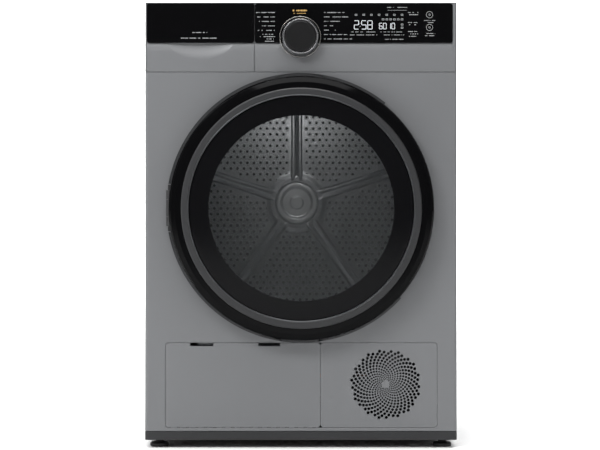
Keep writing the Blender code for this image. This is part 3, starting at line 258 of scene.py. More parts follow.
def mouldedPlastic(name, tone, roughness, grain=900.0, strength=0.25):
    # moulded plastic: fine spark grain, a slight change of tone and handling marks in the gloss
    look = Finish(name, tone, roughness)
    soft = look.noise(7.0, 3.0)
    pits = look.noise(grain, 2.0)
    shade = look.ramp(soft, [(0.3, tuple(c * 0.86 for c in tone)), (0.7, tuple(c * 1.14 for c in tone))])
    look.set("Base Color", shade)
    look.set("Roughness", roughness - 0.06 + soft * 0.12)
    look.bump(pits, strength, 0.0003)
    return look.material


def polishedBlack(name, tone, haze):
    # piano black: deep base, clear coat with faint wiping haze and dust specks
    look = Finish(name, tone, 0.06, 0.0, Specular_IOR_Level=0.05, Coat_Weight=0.03, Coat_Roughness=0.03)
    smear = look.noise(9.0, 4.0, (1, 1, 0.45))
    dust = look.node("ShaderNodeTexVoronoi", {"feature": "F1"}, Vector=look.place(), Scale=420.0)
    speck = dust < 0.035
    look.set("Base Color", look.mixed(speck * 0.35, tone, (0.09, 0.09, 0.09)))
    look.set("Roughness", haze + smear * 0.05)
    look.bump(smear, 0.02, 0.0004)
    return look.material


def brushedMetal(name, tone, roughness, stretch=(1, 60, 1), scale=40.0):
    # drawn or brushed metal: long fine lines one way with a slow change of tone
    look = Finish(name, tone, roughness, 1.0)
    lines = look.noise(scale, 3.0, stretch)
    cloud = look.noise(5.0, 2.0)
    shade = look.ramp(lines * 0.6 + cloud * 0.4, [(0.3, tuple(c * 0.82 for c in tone)),
                                                 (0.7, tuple(min(c * 1.12, 1) for c in tone))])
    look.set("Base Color", shade)
    look.set("Roughness", roughness - 0.05 + lines * 0.12)
    look.bump(lines, 0.12, 0.0002)
    return look.material


def turnedMetal(name, tone, roughness, centre, scale, metal=0.9):
    # metal or satin plastic finished on a lathe: fine rings about an axis along Y
    look = Finish(name, tone, roughness, metal)
    x, _, z = look.axes((centre[0], 0, centre[1]))
    radius = (x * x + z * z) ** 0.5
    rings = look.node("ShaderNodeTexNoise", {"noise_dimensions": "1D"}, W=radius, Scale=scale, Detail=3.0)
    shade = look.ramp(rings, [(0.3, tuple(c * 0.85 for c in tone)),
                              (0.7, tuple(min(c * 1.15, 1) for c in tone))])
    look.set("Base Color", shade)
    look.set("Roughness", roughness - 0.04 + rings * 0.09)
    look.bump(rings, 0.10, 0.0002)
    return look.material


def zincSheet(name, tone):
    # hot-dip zinc: angular spangle cells of slightly different brightness
    look = Finish(name, tone, 0.42, 0.6)
    cells = look.node("ShaderNodeTexVoronoi", {"feature": "F1", "distance": "EUCLIDEAN"},
                      Vector=look.place(), Scale=85.0, output=1)
    grey = look.node("ShaderNodeSeparateColor", None, cells)
    soft = look.noise(6.0, 3.0)
    shade = look.ramp(grey * 0.55 + soft * 0.45, [(0.25, tuple(c * 0.84 for c in tone)),
                                                 (0.75, tuple(c * 1.10 for c in tone))])
    look.set("Base Color", shade)
    look.set("Roughness", 0.34 + grey * 0.14)
    look.bump(grey, 0.05, 0.0003)
    return look.material


def feltPad(name, tone):
    # pressed wool: tangled fibres, soft nap
    look = Finish(name, tone, 0.95, 0.0, Sheen_Weight=0.4, Sheen_Roughness=0.5)
    fibre = look.noise(420.0, 5.0, (1, 0.3, 1), 0.65)
    clump = look.noise(60.0, 3.0)
    shade = look.ramp(fibre * 0.6 + clump * 0.4, [(0.3, tuple(c * 0.72 for c in tone)),
                                                 (0.7, tuple(c * 1.2 for c in tone))])
    look.set("Base Color", shade)
    look.bump(fibre, 0.7, 0.0008)
    return look.material


def rubberSkin(name, tone, ribs=0.0):
    # moulded rubber: matt with chalky bloom, and ribs along Y where the belt has them
    look = Finish(name, tone, 0.72)
    bloom = look.noise(26.0, 4.0)
    pits = look.noise(650.0, 2.0)
    shade = look.ramp(bloom, [(0.35, tone), (0.75, tuple(c * 2.1 + 0.008 for c in tone))])
    look.set("Base Color", shade)
    look.set("Roughness", 0.64 + bloom * 0.16)
    relief = pits
    if ribs:
        y = look.axes()[1]
        relief = (y * (2 * math.pi / ribs)).math("SINE") * 0.5 + pits * 0.3
    look.bump(relief, 0.35, 0.0004)
    return look.material


def tintedGlass(name, tone, alpha, haze=0.0, roughness=0.04):
    # tinted clear pane: thin see-through body with a bright clear coat and faint wipe marks
    look = Finish(name, tone, roughness, 0.0, Specular_IOR_Level=0.15, Coat_Weight=0.1, Coat_Roughness=0.02)
    wipe = look.noise(6.0, 4.0, (1, 1, 0.3))
    look.set("Base Color", look.mixed(wipe * 0.4, tone, tuple(c * 1.6 + 0.004 for c in tone)))
    look.set("Alpha", alpha + wipe * haze)
    look.set("Roughness", roughness + wipe * 0.03)
    look.material.surface_render_method = "DITHERED"
    return look.material


def smokedWindow(name):
    # smoked middle and a printed black border with an even edge
    look = Finish(name, (0.010, 0.011, 0.012), 0.05, 0.0, Specular_IOR_Level=0.06, Coat_Weight=0.04,
                  Coat_Roughness=0.02)
    x, _, z = look.axes((0, 0, -doorZ))
    radius = (x * x + z * z) ** 0.5
    border = look.node("ShaderNodeClamp", None, (radius - 0.175) * 900, 0.0, 1.0)
    wipe = look.noise(5.0, 4.0, (1, 1, 0.35))
    look.set("Alpha", (0.24 + wipe * 0.08) * (1 - border) + border)
    look.set("Base Color", look.mixed(border, (0.010, 0.011, 0.012), (0.0035, 0.0035, 0.004)))
    look.set("Roughness", 0.04 + wipe * 0.03)
    look.material.surface_render_method = "DITHERED"
    return look.material


def glowing(name, tone, power):
    # lit display segment behind the panel
    look = Finish(name, tone, 0.4, 0.0, Emission_Strength=power)
    flick = look.noise(300.0, 1.0)
    look.set("Emission Color", look.mixed(flick * 0.3, tone, tuple(c * 0.7 for c in tone)))
    return look.material


def printedInk(name, tone):
    # screen-printed ink: a little uneven in coverage
    look = Finish(name, tone, 0.5)
    cover = look.noise(1500.0, 2.0)
    look.set("Base Color", look.ramp(cover, [(0.35, tuple(c * 0.8 for c in tone)), (0.65, tone)]))
    return look.material


bodyTone = (0.150, 0.154, 0.160)
finishes = {
    "body_grey": sprayedGrey("bodyPaint", bodyTone, {"fleck": 1400.0, "peel": 240.0, "strength": 0.05}),
    "body_grey_plastic": sprayedGrey("fasciaPaint", bodyTone,
                                     {"fleck": 1600.0, "peel": 320.0, "strength": 0.04}),
    "dark_grey": mouldedPlastic("darkGreyMoulding", (0.013, 0.0135, 0.015), 0.55),
    "gloss_black": polishedBlack("pianoBlack", (0.0022, 0.0022, 0.0025), 0.035),
    "matt_black": mouldedPlastic("mattBlackMoulding", (0.012, 0.012, 0.013), 0.60),
    "satin_trim": turnedMetal("satinTrim", (0.011, 0.0115, 0.013), 0.48, (0, -doorZ), 900.0, 0.0),
    "chrome": turnedMetal("plating", (0.30, 0.30, 0.31), 0.22, (-knobX, -knobZ), 1500.0),
    "smoked_window": smokedWindow("smokedWindow"),
    "bowl_glass": tintedGlass("pressedGlass", (0.20, 0.21, 0.21), 0.10, 0.05),
    "drum_steel": brushedMetal("drumSteel", (0.46, 0.47, 0.48), 0.34, (1, 0.02, 1), 500.0),
    "zinc": zincSheet("zincSheet", (0.27, 0.275, 0.28)),
    "steel": brushedMetal("groundSteel", (0.50, 0.50, 0.51), 0.28, (60, 1, 60), 30.0),
    "copper": brushedMetal("copperTube", (0.64, 0.30, 0.17), 0.34, (1, 1, 1), 120.0),
    "fins": brushedMetal("finStock", (0.62, 0.63, 0.64), 0.38, (700, 1, 1), 1.0),
    "felt": feltPad("woolFelt", (0.31, 0.29, 0.26)),
    "rubber": rubberSkin("blackRubber", (0.014, 0.014, 0.014)),
    "inner_plastic": mouldedPlastic("innerMoulding", (0.20, 0.21, 0.22), 0.50, 700.0, 0.2),
    "tank_plastic": mouldedPlastic("tankMoulding", (0.55, 0.58, 0.60), 0.30, 500.0, 0.12),
    "compressor_paint": sprayedGrey("compressorPaint", (0.013, 0.013, 0.014),
                                    {"fleck": 900.0, "peel": 160.0, "strength": 0.12}),
}
beltRubber = rubberSkin("ribbedRubber", (0.014, 0.014, 0.014), 0.0024)
ledWhite = glowing("ledWhite", (0.85, 0.88, 0.92), 0.62)
inkWhite = printedInk("inkWhite", (0.42, 0.43, 0.44))
inkGold = printedInk("inkGold", (0.55, 0.33, 0.10))
# near-black colour for marks that stand in for holes and openings: painted shade, not ink
paintedOpeningShade = printedInk("perforationShadow", (0.004, 0.004, 0.004))
for row in frame["record"]["subparts"]:
    nodes[row["node"]].data.materials.clear()
    nodes[row["node"]].data.materials.append(finishes[row["material_slot"]])
print("materials made:", len(finishes) + 5)


# ---- mesh tools ----
def linked(name, mesh):
    made = bpy.data.objects.new(name, mesh)
    bpy.context.scene.collection.objects.link(made)
    return made


def addPiece(name, mesh, slotName, body, stands=(), finish=None, angle=32):
    # gives a mesh its finish, smooth shading between sharp edges, its body and the nodes it stands for
    if finish is not None or not mesh.materials:
        mesh.materials.clear()
        mesh.materials.append(finish or finishes[slotName])
    mesh.shade_smooth()
    mesh.set_sharp_from_angle(angle=math.radians(angle))
    if len(mesh.polygons) < 30000:
        mesh = shaped(mesh, ("WEIGHTED_NORMAL", {"keep_sharp": True, "weight": 60}))
    piece = linked(name, mesh)
    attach(piece, body)
    if stands:
        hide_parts(*stands)
    return piece


def fromBmesh(name, bm):
    bmesh.ops.remove_doubles(bm, verts=bm.verts, dist=1e-6)
    bmesh.ops.recalc_face_normals(bm, faces=bm.faces)
    mesh = bpy.data.meshes.new(name)
    bm.to_mesh(mesh)
    bm.free()
    return mesh


def softened(points, radius, closed=True, steps=5):
    # rounds the corners of a line of points; radius is one number, or one for each point
    count = len(points)
    radii = radius if isinstance(radius, (list, tuple)) else [radius] * count
    result = []
    for i, here in enumerate(points):
        here = Vector(here)
        if radii[i] == 0 or (not closed and i in (0, count - 1)):
            result.append(tuple(here))
            continue
        before, after = Vector(points[i - 1]) - here, Vector(points[(i + 1) % count]) - here
        turn = before.angle(after, math.pi)
        if turn > math.pi - 0.02:
            result.append(tuple(here))
            continue
        reach = min(radii[i] / math.tan(turn / 2), before.length * 0.49, after.length * 0.49)
        start, end = here + before.normalized() * reach, here + after.normalized() * reach
        for k in range(steps + 1):
            u = k / steps
            result.append(tuple(start * (1 - u) ** 2 + here * 2 * u * (1 - u) + end * u * u))
    return result


def turned(profile, centre, steps=160):
    # a profile of (radius, y) turned about an axis along Y; it is a ring where it starts off the axis
    bm = bmesh.new()
    rows = []
    for radius, y in profile:
        places = range(steps) if radius > 1e-6 else [0]
        rows.append([bm.verts.new((centre[0] + radius * math.cos(2 * math.pi * i / steps), y,
                                   centre[1] + radius * math.sin(2 * math.pi * i / steps))) for i in places])
    pairs = list(zip(rows, rows[1:]))
    if profile[0][0] > 1e-6:
        pairs.append((rows[-1], rows[0]))
    for near, far in pairs:
        for i in range(steps):
            j = (i + 1) % steps
            corners = [near[i % len(near)], near[j % len(near)], far[j % len(far)], far[i % len(far)]]
            corners = list(dict.fromkeys(corners))
            if len(corners) > 2:
                bm.faces.new(corners)
    return fromBmesh("turned", bm)


def boxOutline(low, high, radius, steps=7):
    # rectangle between two corner points with round corners
    corners = [(high[0] - radius, high[1] - radius), (low[0] + radius, high[1] - radius),
               (low[0] + radius, low[1] + radius), (high[0] - radius, low[1] + radius)]
    points = []
    for quarter, (a, b) in enumerate(corners):
        for k in range(steps + 1):
            angle = math.pi / 2 * (quarter + k / steps)
            points.append((a + radius * math.cos(angle), b + radius * math.sin(angle)))
    return points


def ringOutline(centre, radius, steps=64):
    return [(centre[0] + radius * math.cos(2 * math.pi * i / steps),
             centre[1] + radius * math.sin(2 * math.pi * i / steps)) for i in range(steps)]


def raised(outline, low, high, along="Y"):
    # a flat outline drawn out to a solid along one axis; the outline's two numbers are the other axes
    place = {"Y": lambda p, h: (p[0], h, p[1]), "Z": lambda p, h: (p[0], p[1], h),
             "X": lambda p, h: (h, p[0], p[1])}[along]
    bm = bmesh.new()
    rings = [[bm.verts.new(place(p, h)) for p in outline] for h in (low, high)]
    for ring in rings:
        bm.faces.new(ring)
    for i in range(len(outline)):
        j = (i + 1) % len(outline)
        bm.faces.new((rings[0][i], rings[0][j], rings[1][j], rings[1][i]))
    return fromBmesh("raised", bm)


def slab(x, y, z, radius=0.0):
    # a block between two places on each axis, its edges along Y rounded when a radius is given
    low, high = (x[0], z[0]), (x[1], z[1])
    outline = boxOutline(low, high, radius) if radius else [low, (high[0], low[1]), high, (low[0], high[1])]
    return raised(outline, y[0], y[1])


def shaped(mesh, *steps):
    # applies modifiers, given as (type, settings), and returns the plain result
    holder = linked("holder", mesh)
    for kind, settings in steps:
        modifier = holder.modifiers.new(kind, kind)
        for key, value in settings.items():
            setattr(modifier, key, value)
    view = bpy.context.evaluated_depsgraph_get()
    result = bpy.data.meshes.new_from_object(holder.evaluated_get(view))
    bpy.data.objects.remove(holder)
    return result


def joined(*meshes):
    bm = bmesh.new()
    for mesh in meshes:
        bm.from_mesh(mesh)
    result = bpy.data.meshes.new("joined")
    bm.to_mesh(result)
    bm.free()
    return result


def carved(mesh, cutters, operation="DIFFERENCE"):
    # takes solids away from a solid, one after another, or joins them to it
    for cutter in cutters:
        tool = linked("tool", cutter)
        mesh = shaped(mesh, ("BOOLEAN", {"operation": operation, "object": tool, "solver": "EXACT"}))
        bpy.data.objects.remove(tool)
    bm = bmesh.new()
    bm.from_mesh(mesh)
    bmesh.ops.dissolve_degenerate(bm, edges=bm.edges, dist=2e-6)
    return fromBmesh("carved", bm)


def eased(mesh, width, segments=2, angle=30):
    # small rounded edges all over
    return shaped(mesh, ("BEVEL", {"width": width, "segments": segments, "limit_method": "ANGLE",
                                   "angle_limit": math.radians(angle), "harden_normals": False,
                                   "use_clamp_overlap": True}))


def pointsMesh(places, **attributes):
    # loose points that carry the size and turn of what is set on them
    mesh = bpy.data.meshes.new("places")
    mesh.from_pydata([tuple(p) for p in places], [], [])
    for name, values in attributes.items():
        layer = mesh.attributes.new(name, "FLOAT_VECTOR", "POINT")
        for i, value in enumerate(values):
            layer.data[i].vector = value
    return mesh


def repeatRecipe():
    # sets a shape on each point, scaled by the point's size and turned by its turn
    recipe = Recipe("setOnPoints", shape="NodeSocketObject", material="NodeSocketMaterial")
    shape = recipe.node("GeometryNodeObjectInfo", {"transform_space": "ORIGINAL"}, recipe.value("shape"),
                        output="Geometry")
    size = recipe.node("GeometryNodeInputNamedAttribute", {"data_type": "FLOAT_VECTOR"}, "size")
    turn = recipe.node("GeometryNodeInputNamedAttribute", {"data_type": "FLOAT_VECTOR"}, "turn")
    points = recipe.node("GeometryNodeMeshToPoints", None, recipe.value("Geometry"))
    spread = recipe.node("GeometryNodeInstanceOnPoints", None, points, Instance=shape, Rotation=turn,
                         Scale=size)
    recipe.close(spread, recipe.value("material"))
    return recipe


onPoints = repeatRecipe()


def repeated(shape, places, finish, sizes=None, turns=None):
    # one mesh holding a copy of a shape at each place
    count = len(places)
    points = pointsMesh(places, size=sizes or [(1, 1, 1)] * count, turn=turns or [(0, 0, 0)] * count)
    tool = linked("tool", shape)
    result = onPoints.run(points, shape=tool, material=finish)
    bpy.data.objects.remove(tool)
    return result


# ---- cabinet ----
cabinetSizes = {
    "pressing": 0.0011,         # depth of the side panels' stamped field
    "pressingInset": 0.055,
    "cornerRadius": 0.006,
    "topEdge": 0.0022,
}


def sidePanel(name, node):
    # a flat sheet with a stamped field
    low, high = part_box(node)
    outward = 1 if high.x > 0 else -1
    face, back = (high.x, low.x) if outward > 0 else (low.x, high.x)
    inset, depth = cabinetSizes["pressingInset"], cabinetSizes["pressing"] * outward
    bandBack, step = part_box("control_fascia")[1].y + 0.0005, bandBottom - 0.001
    outer = [(low.y, low.z), (high.y, low.z), (high.y, high.z), (bandBack, high.z), (bandBack, step),
             (low.y, step)]
    steps = [(0.0, 0.0), (0.004, -0.25), (0.009, -0.75), (0.013, -1.0)]
    bm = bmesh.new()
    frontRing = [bm.verts.new((face, y, z)) for y, z in outer]
    rings = []
    for grow, sink in steps:
        outline = boxOutline((low.y + inset + grow, low.z + inset + grow),
                             (high.y - inset - grow, high.z - inset - grow), 0.030 - grow, 8)
        rings.append([bm.verts.new((face + sink * depth, y, z)) for y, z in outline])
    for near, far in zip(rings, rings[1:]):
        for i in range(len(near)):
            j = (i + 1) % len(near)
            bm.faces.new((near[i], near[j], far[j], far[i]))
    bm.faces.new(rings[-1])
    count = len(outer)
    edges = [bm.edges.new((frontRing[i], frontRing[(i + 1) % count])) for i in range(count)]
    edges += [bm.edges.get((rings[0][i], rings[0][(i + 1) % len(rings[0])])) for i in range(len(rings[0]))]
    bmesh.ops.triangle_fill(bm, edges=edges, use_beauty=True)
    backRing = [bm.verts.new((back - depth * 1.1, y, z)) for y, z in outer]
    for i in range(count):
        j = (i + 1) % count
        bm.faces.new((frontRing[i], frontRing[j], backRing[j], backRing[i]))
    bm.faces.new(backRing)
    addPiece(name, fromBmesh(name, bm), "body_grey", "cabinet", [node])


sidePanel("sidePanelLeft", "side_panel_left")
sidePanel("sidePanelRight", "side_panel_right")


def topPanel():
    low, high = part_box("top_panel")
    outline = boxOutline((low.x, low.y), (high.x, high.y), cabinetSizes["cornerRadius"], 8)
    board = raised(outline, low.z, high.z, "Z")
    addPiece("topPanel", eased(board, cabinetSizes["topEdge"], 4), "body_grey", "cabinet", ["top_panel"])


topPanel()

lowerSizes = {
    "left": -0.25875, "right": 0.25975, "bottom": 0.0392, "top": 0.20125,   # opening for flap and grille
    "split": 0.0370, "splitWidth": 0.0008, "gap": 0.0006,
    "corner": 0.006, "doorHole": 0.205,
}


def frontPanel():
    # the sheet round the door, folded back at both sides, with openings for the door, flap and grille
    low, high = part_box("front_panel")
    s = lowerSizes
    outline = boxOutline((low.x, low.y), (high.x, low.y + 0.024), cabinetSizes["cornerRadius"], 8)
    body = raised(outline, low.z, high.z, "Z")
    inner = boxOutline((low.x + 0.001, low.y + 0.001), (high.x - 0.001, low.y + 0.03), 0.005, 8)
    cutters = [
        raised(inner, low.z - 0.01, high.z + 0.01, "Z"),
        slab((low.x - 0.01, high.x + 0.01), (low.y + 0.012, low.y + 0.05), (low.z - 0.01, high.z + 0.01)),
    ]
    shell = carved(body, cutters)
    holes = [
        raised(ringOutline((0, doorZ), s["doorHole"], 128), low.y - 0.01, low.y + 0.01),
        slab((s["left"], s["right"]), (low.y - 0.01, low.y + 0.01), (s["bottom"], s["top"]), s["corner"]),
        slab((s["split"] - s["splitWidth"] / 2, s["split"] + s["splitWidth"] / 2),
             (low.y - 0.01, low.y + 0.0005), (low.z - 0.01, s["bottom"] + 0.01)),
    ]
    shell = carved(shell, holes)
    addPiece("frontPanel", eased(shell, 0.0004, 2, 40), "body_grey", "cabinet", ["front_panel"])


frontPanel()
print("cabinet panels made")

# ---- service flap and grille ----
grilleSizes = {
    "holes": 430, "field": 0.0655, "core": 0.0076, "holeOut": 0.00310, "holeIn": 0.0006,
    "centre": (0.1617, 0.1219), "thickness": 0.0022, "corner": 0.0055,
    "slots": [(-0.211, -0.167), (-0.081, -0.040)], "slotHeight": 0.0062,
}


def sunflowerPlate():
    # a plate with holes on a golden-angle spiral that grow from the middle outwards
    recipe = Recipe("sunflowerPlate", width=1.0, height=1.0, corner=0.005, thickness=0.002, count=400,
                    field=0.066,
                    core=0.008, holeOut=0.003, holeIn=0.001, centre=(0.0, 0.0, 0.0), middle=(0.0, 0.0, 0.0),
                    material="NodeSocketMaterial")
    v = recipe.value
    index = recipe.node("GeometryNodeInputIndex")
    share = (index + 0.5) / v("count")
    radius = v("core") + (v("field") - v("core")) * share ** 0.96
    angle = index * math.radians(137.50776)
    spot = recipe.node("ShaderNodeCombineXYZ", None, radius * angle.math("COSINE"),
                       radius * angle.math("SINE"), 0.0)
    start = recipe.node("GeometryNodePoints", None, v("count"), spot)
    size = v("holeIn") + (v("holeOut") - v("holeIn")) * (radius / v("field")) ** 0.75
    grown = recipe.node("ShaderNodeCombineXYZ", None, size, size, size)
    ring = recipe.node("GeometryNodeCurvePrimitiveCircle", {"mode": "RADIUS"}, 12, Radius=1.0)
    holes = recipe.node("GeometryNodeInstanceOnPoints", None, start, Instance=ring, Scale=grown)
    holes = recipe.node("GeometryNodeTransform", None, holes, Translation=v("centre"))
    flat = recipe.node("GeometryNodeRealizeInstances", None, holes)
    edge = recipe.node("GeometryNodeCurvePrimitiveQuadrilateral", {"mode": "RECTANGLE"}, v("width"),
                       v("height"))
    edge = recipe.node("GeometryNodeTransform", None, edge, Translation=v("middle"))
    edge = recipe.node("GeometryNodeFilletCurve", {"mode": "POLY"}, edge, Count=7, Radius=v("corner"))
    both = joinedGeometry(recipe, flat, edge)
    sheet = recipe.node("GeometryNodeFillCurve", None, both)
    upper = recipe.node("GeometryNodeExtrudeMesh", {"mode": "FACES"}, sheet, Offset_Scale=v("thickness"),
                        Individual=False)
    lower = recipe.node("GeometryNodeFlipFaces", None, sheet)
    solid = recipe.node("GeometryNodeMergeByDistance", None, joinedGeometry(recipe, upper, lower),
                        Distance=1e-6)
    recipe.close(solid, v("material"))
    return recipe


def joinedGeometry(recipe, *parts):
    made = recipe.tree.nodes.new("GeometryNodeJoinGeometry")
    for part in reversed(parts):
        recipe.tree.links.new(part.socket, made.inputs[0])
    return Wire(recipe, made.outputs[0])


def upright(mesh, face):
    # stands a flat mesh up against the front, its own Z pointing forwards from the face
    mesh.transform(Matrix(((1, 0, 0, 0), (0, 0, -1, face), (0, 1, 0, 0), (0, 0, 0, 1))))
    return mesh


def grillePanel():
    s, hole = grilleSizes, lowerSizes
    low = Vector((hole["split"] + hole["gap"] / 2, front, hole["bottom"] + hole["gap"]))
    high = Vector((hole["right"] - hole["gap"], front, hole["top"] - hole["gap"]))
    faceDepth = front + s["thickness"]
    plate = sunflowerPlate().run(width=high.x - low.x, height=high.z - low.z, corner=s["corner"],
                                 thickness=s["thickness"], count=s["holes"], field=s["field"],
                                 core=s["core"],
                                 holeOut=s["holeOut"], holeIn=s["holeIn"], centre=(*s["centre"], 0.0),
                                 middle=((low.x + high.x) / 2, (low.z + high.z) / 2, 0.0),
                                 material=finishes["body_grey_plastic"])
    addPiece("grillePanel", upright(plate, faceDepth), "body_grey_plastic", "cabinet", ["grille_panel"])


def serviceFlap():
    s, hole, back = grilleSizes, lowerSizes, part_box("service_flap")[1].y
    low = Vector((hole["left"] + hole["gap"], front, hole["bottom"] + hole["gap"]))
    high = Vector((hole["split"] - hole["gap"] / 2, back, hole["top"] - hole["gap"]))
    plate = slab((low.x, high.x), (low.y, low.y + 0.0026), (low.z, high.z), s["corner"])
    slots = [slab((a, b), (low.y - 0.01, low.y + 0.01), (high.z - s["slotHeight"], high.z + 0.01), 0.0)
             for a, b in s["slots"]]
    plate = carved(plate, slots)
    lip = slab((low.x + 0.012, high.x - 0.012), (low.y + 0.0026, high.y), (low.z + 0.010, low.z + 0.0125))
    rib = slab((low.x + 0.012, high.x - 0.012), (low.y + 0.0026, low.y + 0.0075),
               (high.z - 0.020, high.z - 0.0175))
    whole = joined(eased(plate, 0.0004, 2, 40), eased(lip, 0.0003), eased(rib, 0.0003))
    addPiece("serviceFlap", whole, "body_grey_plastic", "flap", ["service_flap"])


grillePanel()
serviceFlap()
print("flap and grille made")

# ---- control band ----
bandSizes = {
    "haloRadius": 0.0575, "haloDepth": 0.0030, "coveDepth": 0.0026, "coveHeight": 0.019,
    "gripDepth": 0.0058, "gripHeight": 0.0340, "gripHalf": 0.0745,
    "glassCorner": 0.0048, "edge": 0.0005,
    "capRadius": 0.0290, "ringOuter": 0.0353, "bezelInner": 0.0378, "bezelOuter": 0.0396,
}


def haloCutter():
    # a shallow dish round the knob that runs out into the face without a step
    s = bandSizes
    profile = [(0, front - 0.01), (s["haloRadius"], front - 0.01)]
    for k in range(15):
        share = 1 - k / 14
        sink = s["haloDepth"] * (1 - share ** 2) ** 1.4 - 0.00002
        profile.append((s["haloRadius"] * share, front + sink))
    return turned(profile, (knobX, knobZ), 96)


def coveCutter(left, right, top):
    # a long hollow under the strip, deepest at the strip's lower edge
    s = bandSizes
    outline = [(front - 0.01, top), (front + s["coveDepth"], top)]
    for k in range(1, 13):
        share = k / 12
        sink = s["coveDepth"] * (1 - share) ** 2.2 - 0.00002
        outline.append((front + sink, top - s["coveHeight"] * share))
    outline.append((front - 0.01, top - s["coveHeight"]))
    return raised(outline, left, right, "X")


def controlFascia():
    low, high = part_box("control_fascia")
    drawerLow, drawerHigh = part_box("tank_front")
    tankLow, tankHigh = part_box("tank_container")
    glassLow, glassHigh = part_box("control_glass")
    seam = drawerHigh.x + 0.001
    body = raised(boxOutline((low.x, low.y), (high.x, high.y + 0.02), cabinetSizes["cornerRadius"], 8),
                  low.z, high.z, "Z")
    far = 0.1
    cutters = [
        slab((low.x - far, high.x + far), (high.y, high.y + far), (low.z - far, high.z + far)),
        slab((seam + 0.003, high.x - 0.003), (low.y + 0.006, high.y + far), (low.z + 0.003, high.z - 0.003)),
        slab((low.x + 0.003, seam), (low.y + 0.0125, high.y + far), (low.z + 0.003, high.z - 0.003)),
        slab((drawerLow.x - 0.0005, seam), (low.y - far, low.y + 0.0095),
             (low.z - far, drawerHigh.z + 0.0005)),
        slab((tankLow.x - 0.001, tankHigh.x + 0.001), (low.y - far, high.y + far),
             (tankLow.z - 0.001, tankHigh.z + 0.001)),
        slab((glassLow.x - 0.0005, glassHigh.x + 0.0005), (low.y - far, glassHigh.y + 0.0005),
             (glassLow.z - 0.0004, glassHigh.z + 0.0004), bandSizes["glassCorner"]),
        coveCutter(seam - 0.0005, glassHigh.x + 0.0002, glassLow.z),
        haloCutter(),
    ]
    shell = carved(body, cutters)
    addPiece("controlFascia", eased(shell, bandSizes["edge"], 2, 40), "body_grey_plastic", "cabinet",
             ["control_fascia"], angle=24)


def glassStrip(name, node, body):
    low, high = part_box(node)
    pane = slab((low.x, high.x), (low.y, high.y), (low.z, high.z), bandSizes["glassCorner"])
    addPiece(name, eased(pane, 0.0007, 3, 40), "gloss_black", body, [node])


def gripCutter(left, right, top):
    # the finger scoop: a crescent that deepens towards the strip above it
    s = bandSizes
    columns, rows = 48, 12
    middle = (left + right) / 2
    bm = bmesh.new()
    deep, shallow = [], []
    for k in range(rows + 1):
        t = k / rows
        deepRow, flatRow = [], []
        for i in range(columns + 1):
            u = (2 * i / columns - 1) * 0.995
            belly = 1 - u * u
            z = top - s["gripHeight"] * belly * (1 - t) ** 1.0
            sink = s["gripDepth"] * (t * t * (3 - 2 * t)) * belly ** 0.8 - 0.00003
            x = middle + s["gripHalf"] * u
            deepRow.append(bm.verts.new((x, front + sink, z)))
            flatRow.append(bm.verts.new((x, front - 0.01, z)))
        deep.append(deepRow)
        shallow.append(flatRow)
    for k in range(rows):
        for i in range(columns):
            bm.faces.new((deep[k][i], deep[k][i + 1], deep[k + 1][i + 1], deep[k + 1][i]))
            bm.faces.new((shallow[k][i], shallow[k + 1][i], shallow[k + 1][i + 1], shallow[k][i + 1]))
    for i in range(columns):
        bm.faces.new((deep[0][i], shallow[0][i], shallow[0][i + 1], deep[0][i + 1]))
        bm.faces.new((deep[rows][i], deep[rows][i + 1], shallow[rows][i + 1], shallow[rows][i]))
    for k in range(rows):
        bm.faces.new((deep[k][0], deep[k + 1][0], shallow[k + 1][0], shallow[k][0]))
        bm.faces.new((deep[k][columns], shallow[k][columns], shallow[k + 1][columns], deep[k + 1][columns]))
    return fromBmesh("grip", bm)


def drawerFront():
    low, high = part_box("tank_front")
    glassLow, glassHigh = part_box("tank_front_glass")
    body = slab((low.x, high.x), (low.y, high.y), (low.z, high.z))
    cutters = [
        slab((low.x - 0.1, high.x + 0.1), (low.y - 0.1, glassHigh.y + 0.0005), (glassLow.z, high.z + 0.1)),
        coveCutter(low.x - 0.01, high.x + 0.01, glassLow.z + 0.0001),
        gripCutter(low.x, high.x, glassLow.z + 0.0002),
    ]
    shell = carved(body, cutters)
    addPiece("drawerFront", eased(shell, bandSizes["edge"], 2, 40), "body_grey_plastic", "tank_drawer",
             ["tank_front"], angle=28)


def programKnob():
    s = bandSizes
    low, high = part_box("knob_cap")
    tip, back = low.y, front - 0.003
    cap = [(0, tip + 0.0006), (0.012, tip + 0.0004), (s["capRadius"] - 0.0012, tip),
           (s["capRadius"], tip + 0.0012),
           (s["capRadius"], back), (0.003, back), (0.003, high.y), (0, high.y)]
    cap = softened(cap, [0, 0.004, 0.0008, 0.0008, 0.0004, 0.0004, 0.0003, 0], False, 4)
    addPiece("knobCap", turned(cap, (knobX, knobZ), 128), "matt_black", "knob", ["knob_cap"], knobFace)
    inner, outer, crown = s["capRadius"] + 0.0004, s["ringOuter"], knobLow.y
    ring = [(inner, crown + 0.0022), (inner + 0.0012, crown + 0.0016), (inner + 0.0018, crown),
            (inner + 0.0036, crown), (inner + 0.0044, crown + 0.0020), (outer, crown + 0.0060),
            (outer, back), (inner, back)]
    ring = softened(ring, [0.0004, 0.0004, 0.0008, 0.0009, 0.0006, 0.0010, 0.0003, 0.0003], True, 4)
    addPiece("knobRing", turned(ring, (knobX, knobZ), 160), "chrome", "knob", ["knob_ring"])
    glassFace = stripFace
    bezel = [(s["bezelInner"], front + 0.002), (s["bezelInner"], glassFace - 0.0012),
             (s["bezelInner"] + 0.0006, glassFace - 0.0019), (s["bezelOuter"] - 0.0006, glassFace - 0.0019),
             (s["bezelOuter"], glassFace - 0.0010), (s["bezelOuter"], front + 0.002)]
    bezel = softened(bezel, [0, 0.0006, 0.0005, 0.0005, 0.0006, 0], True, 3)
    addPiece("knobBezel", turned(bezel, (knobX, knobZ), 160), "chrome", "cabinet", finish=bezelPlating)


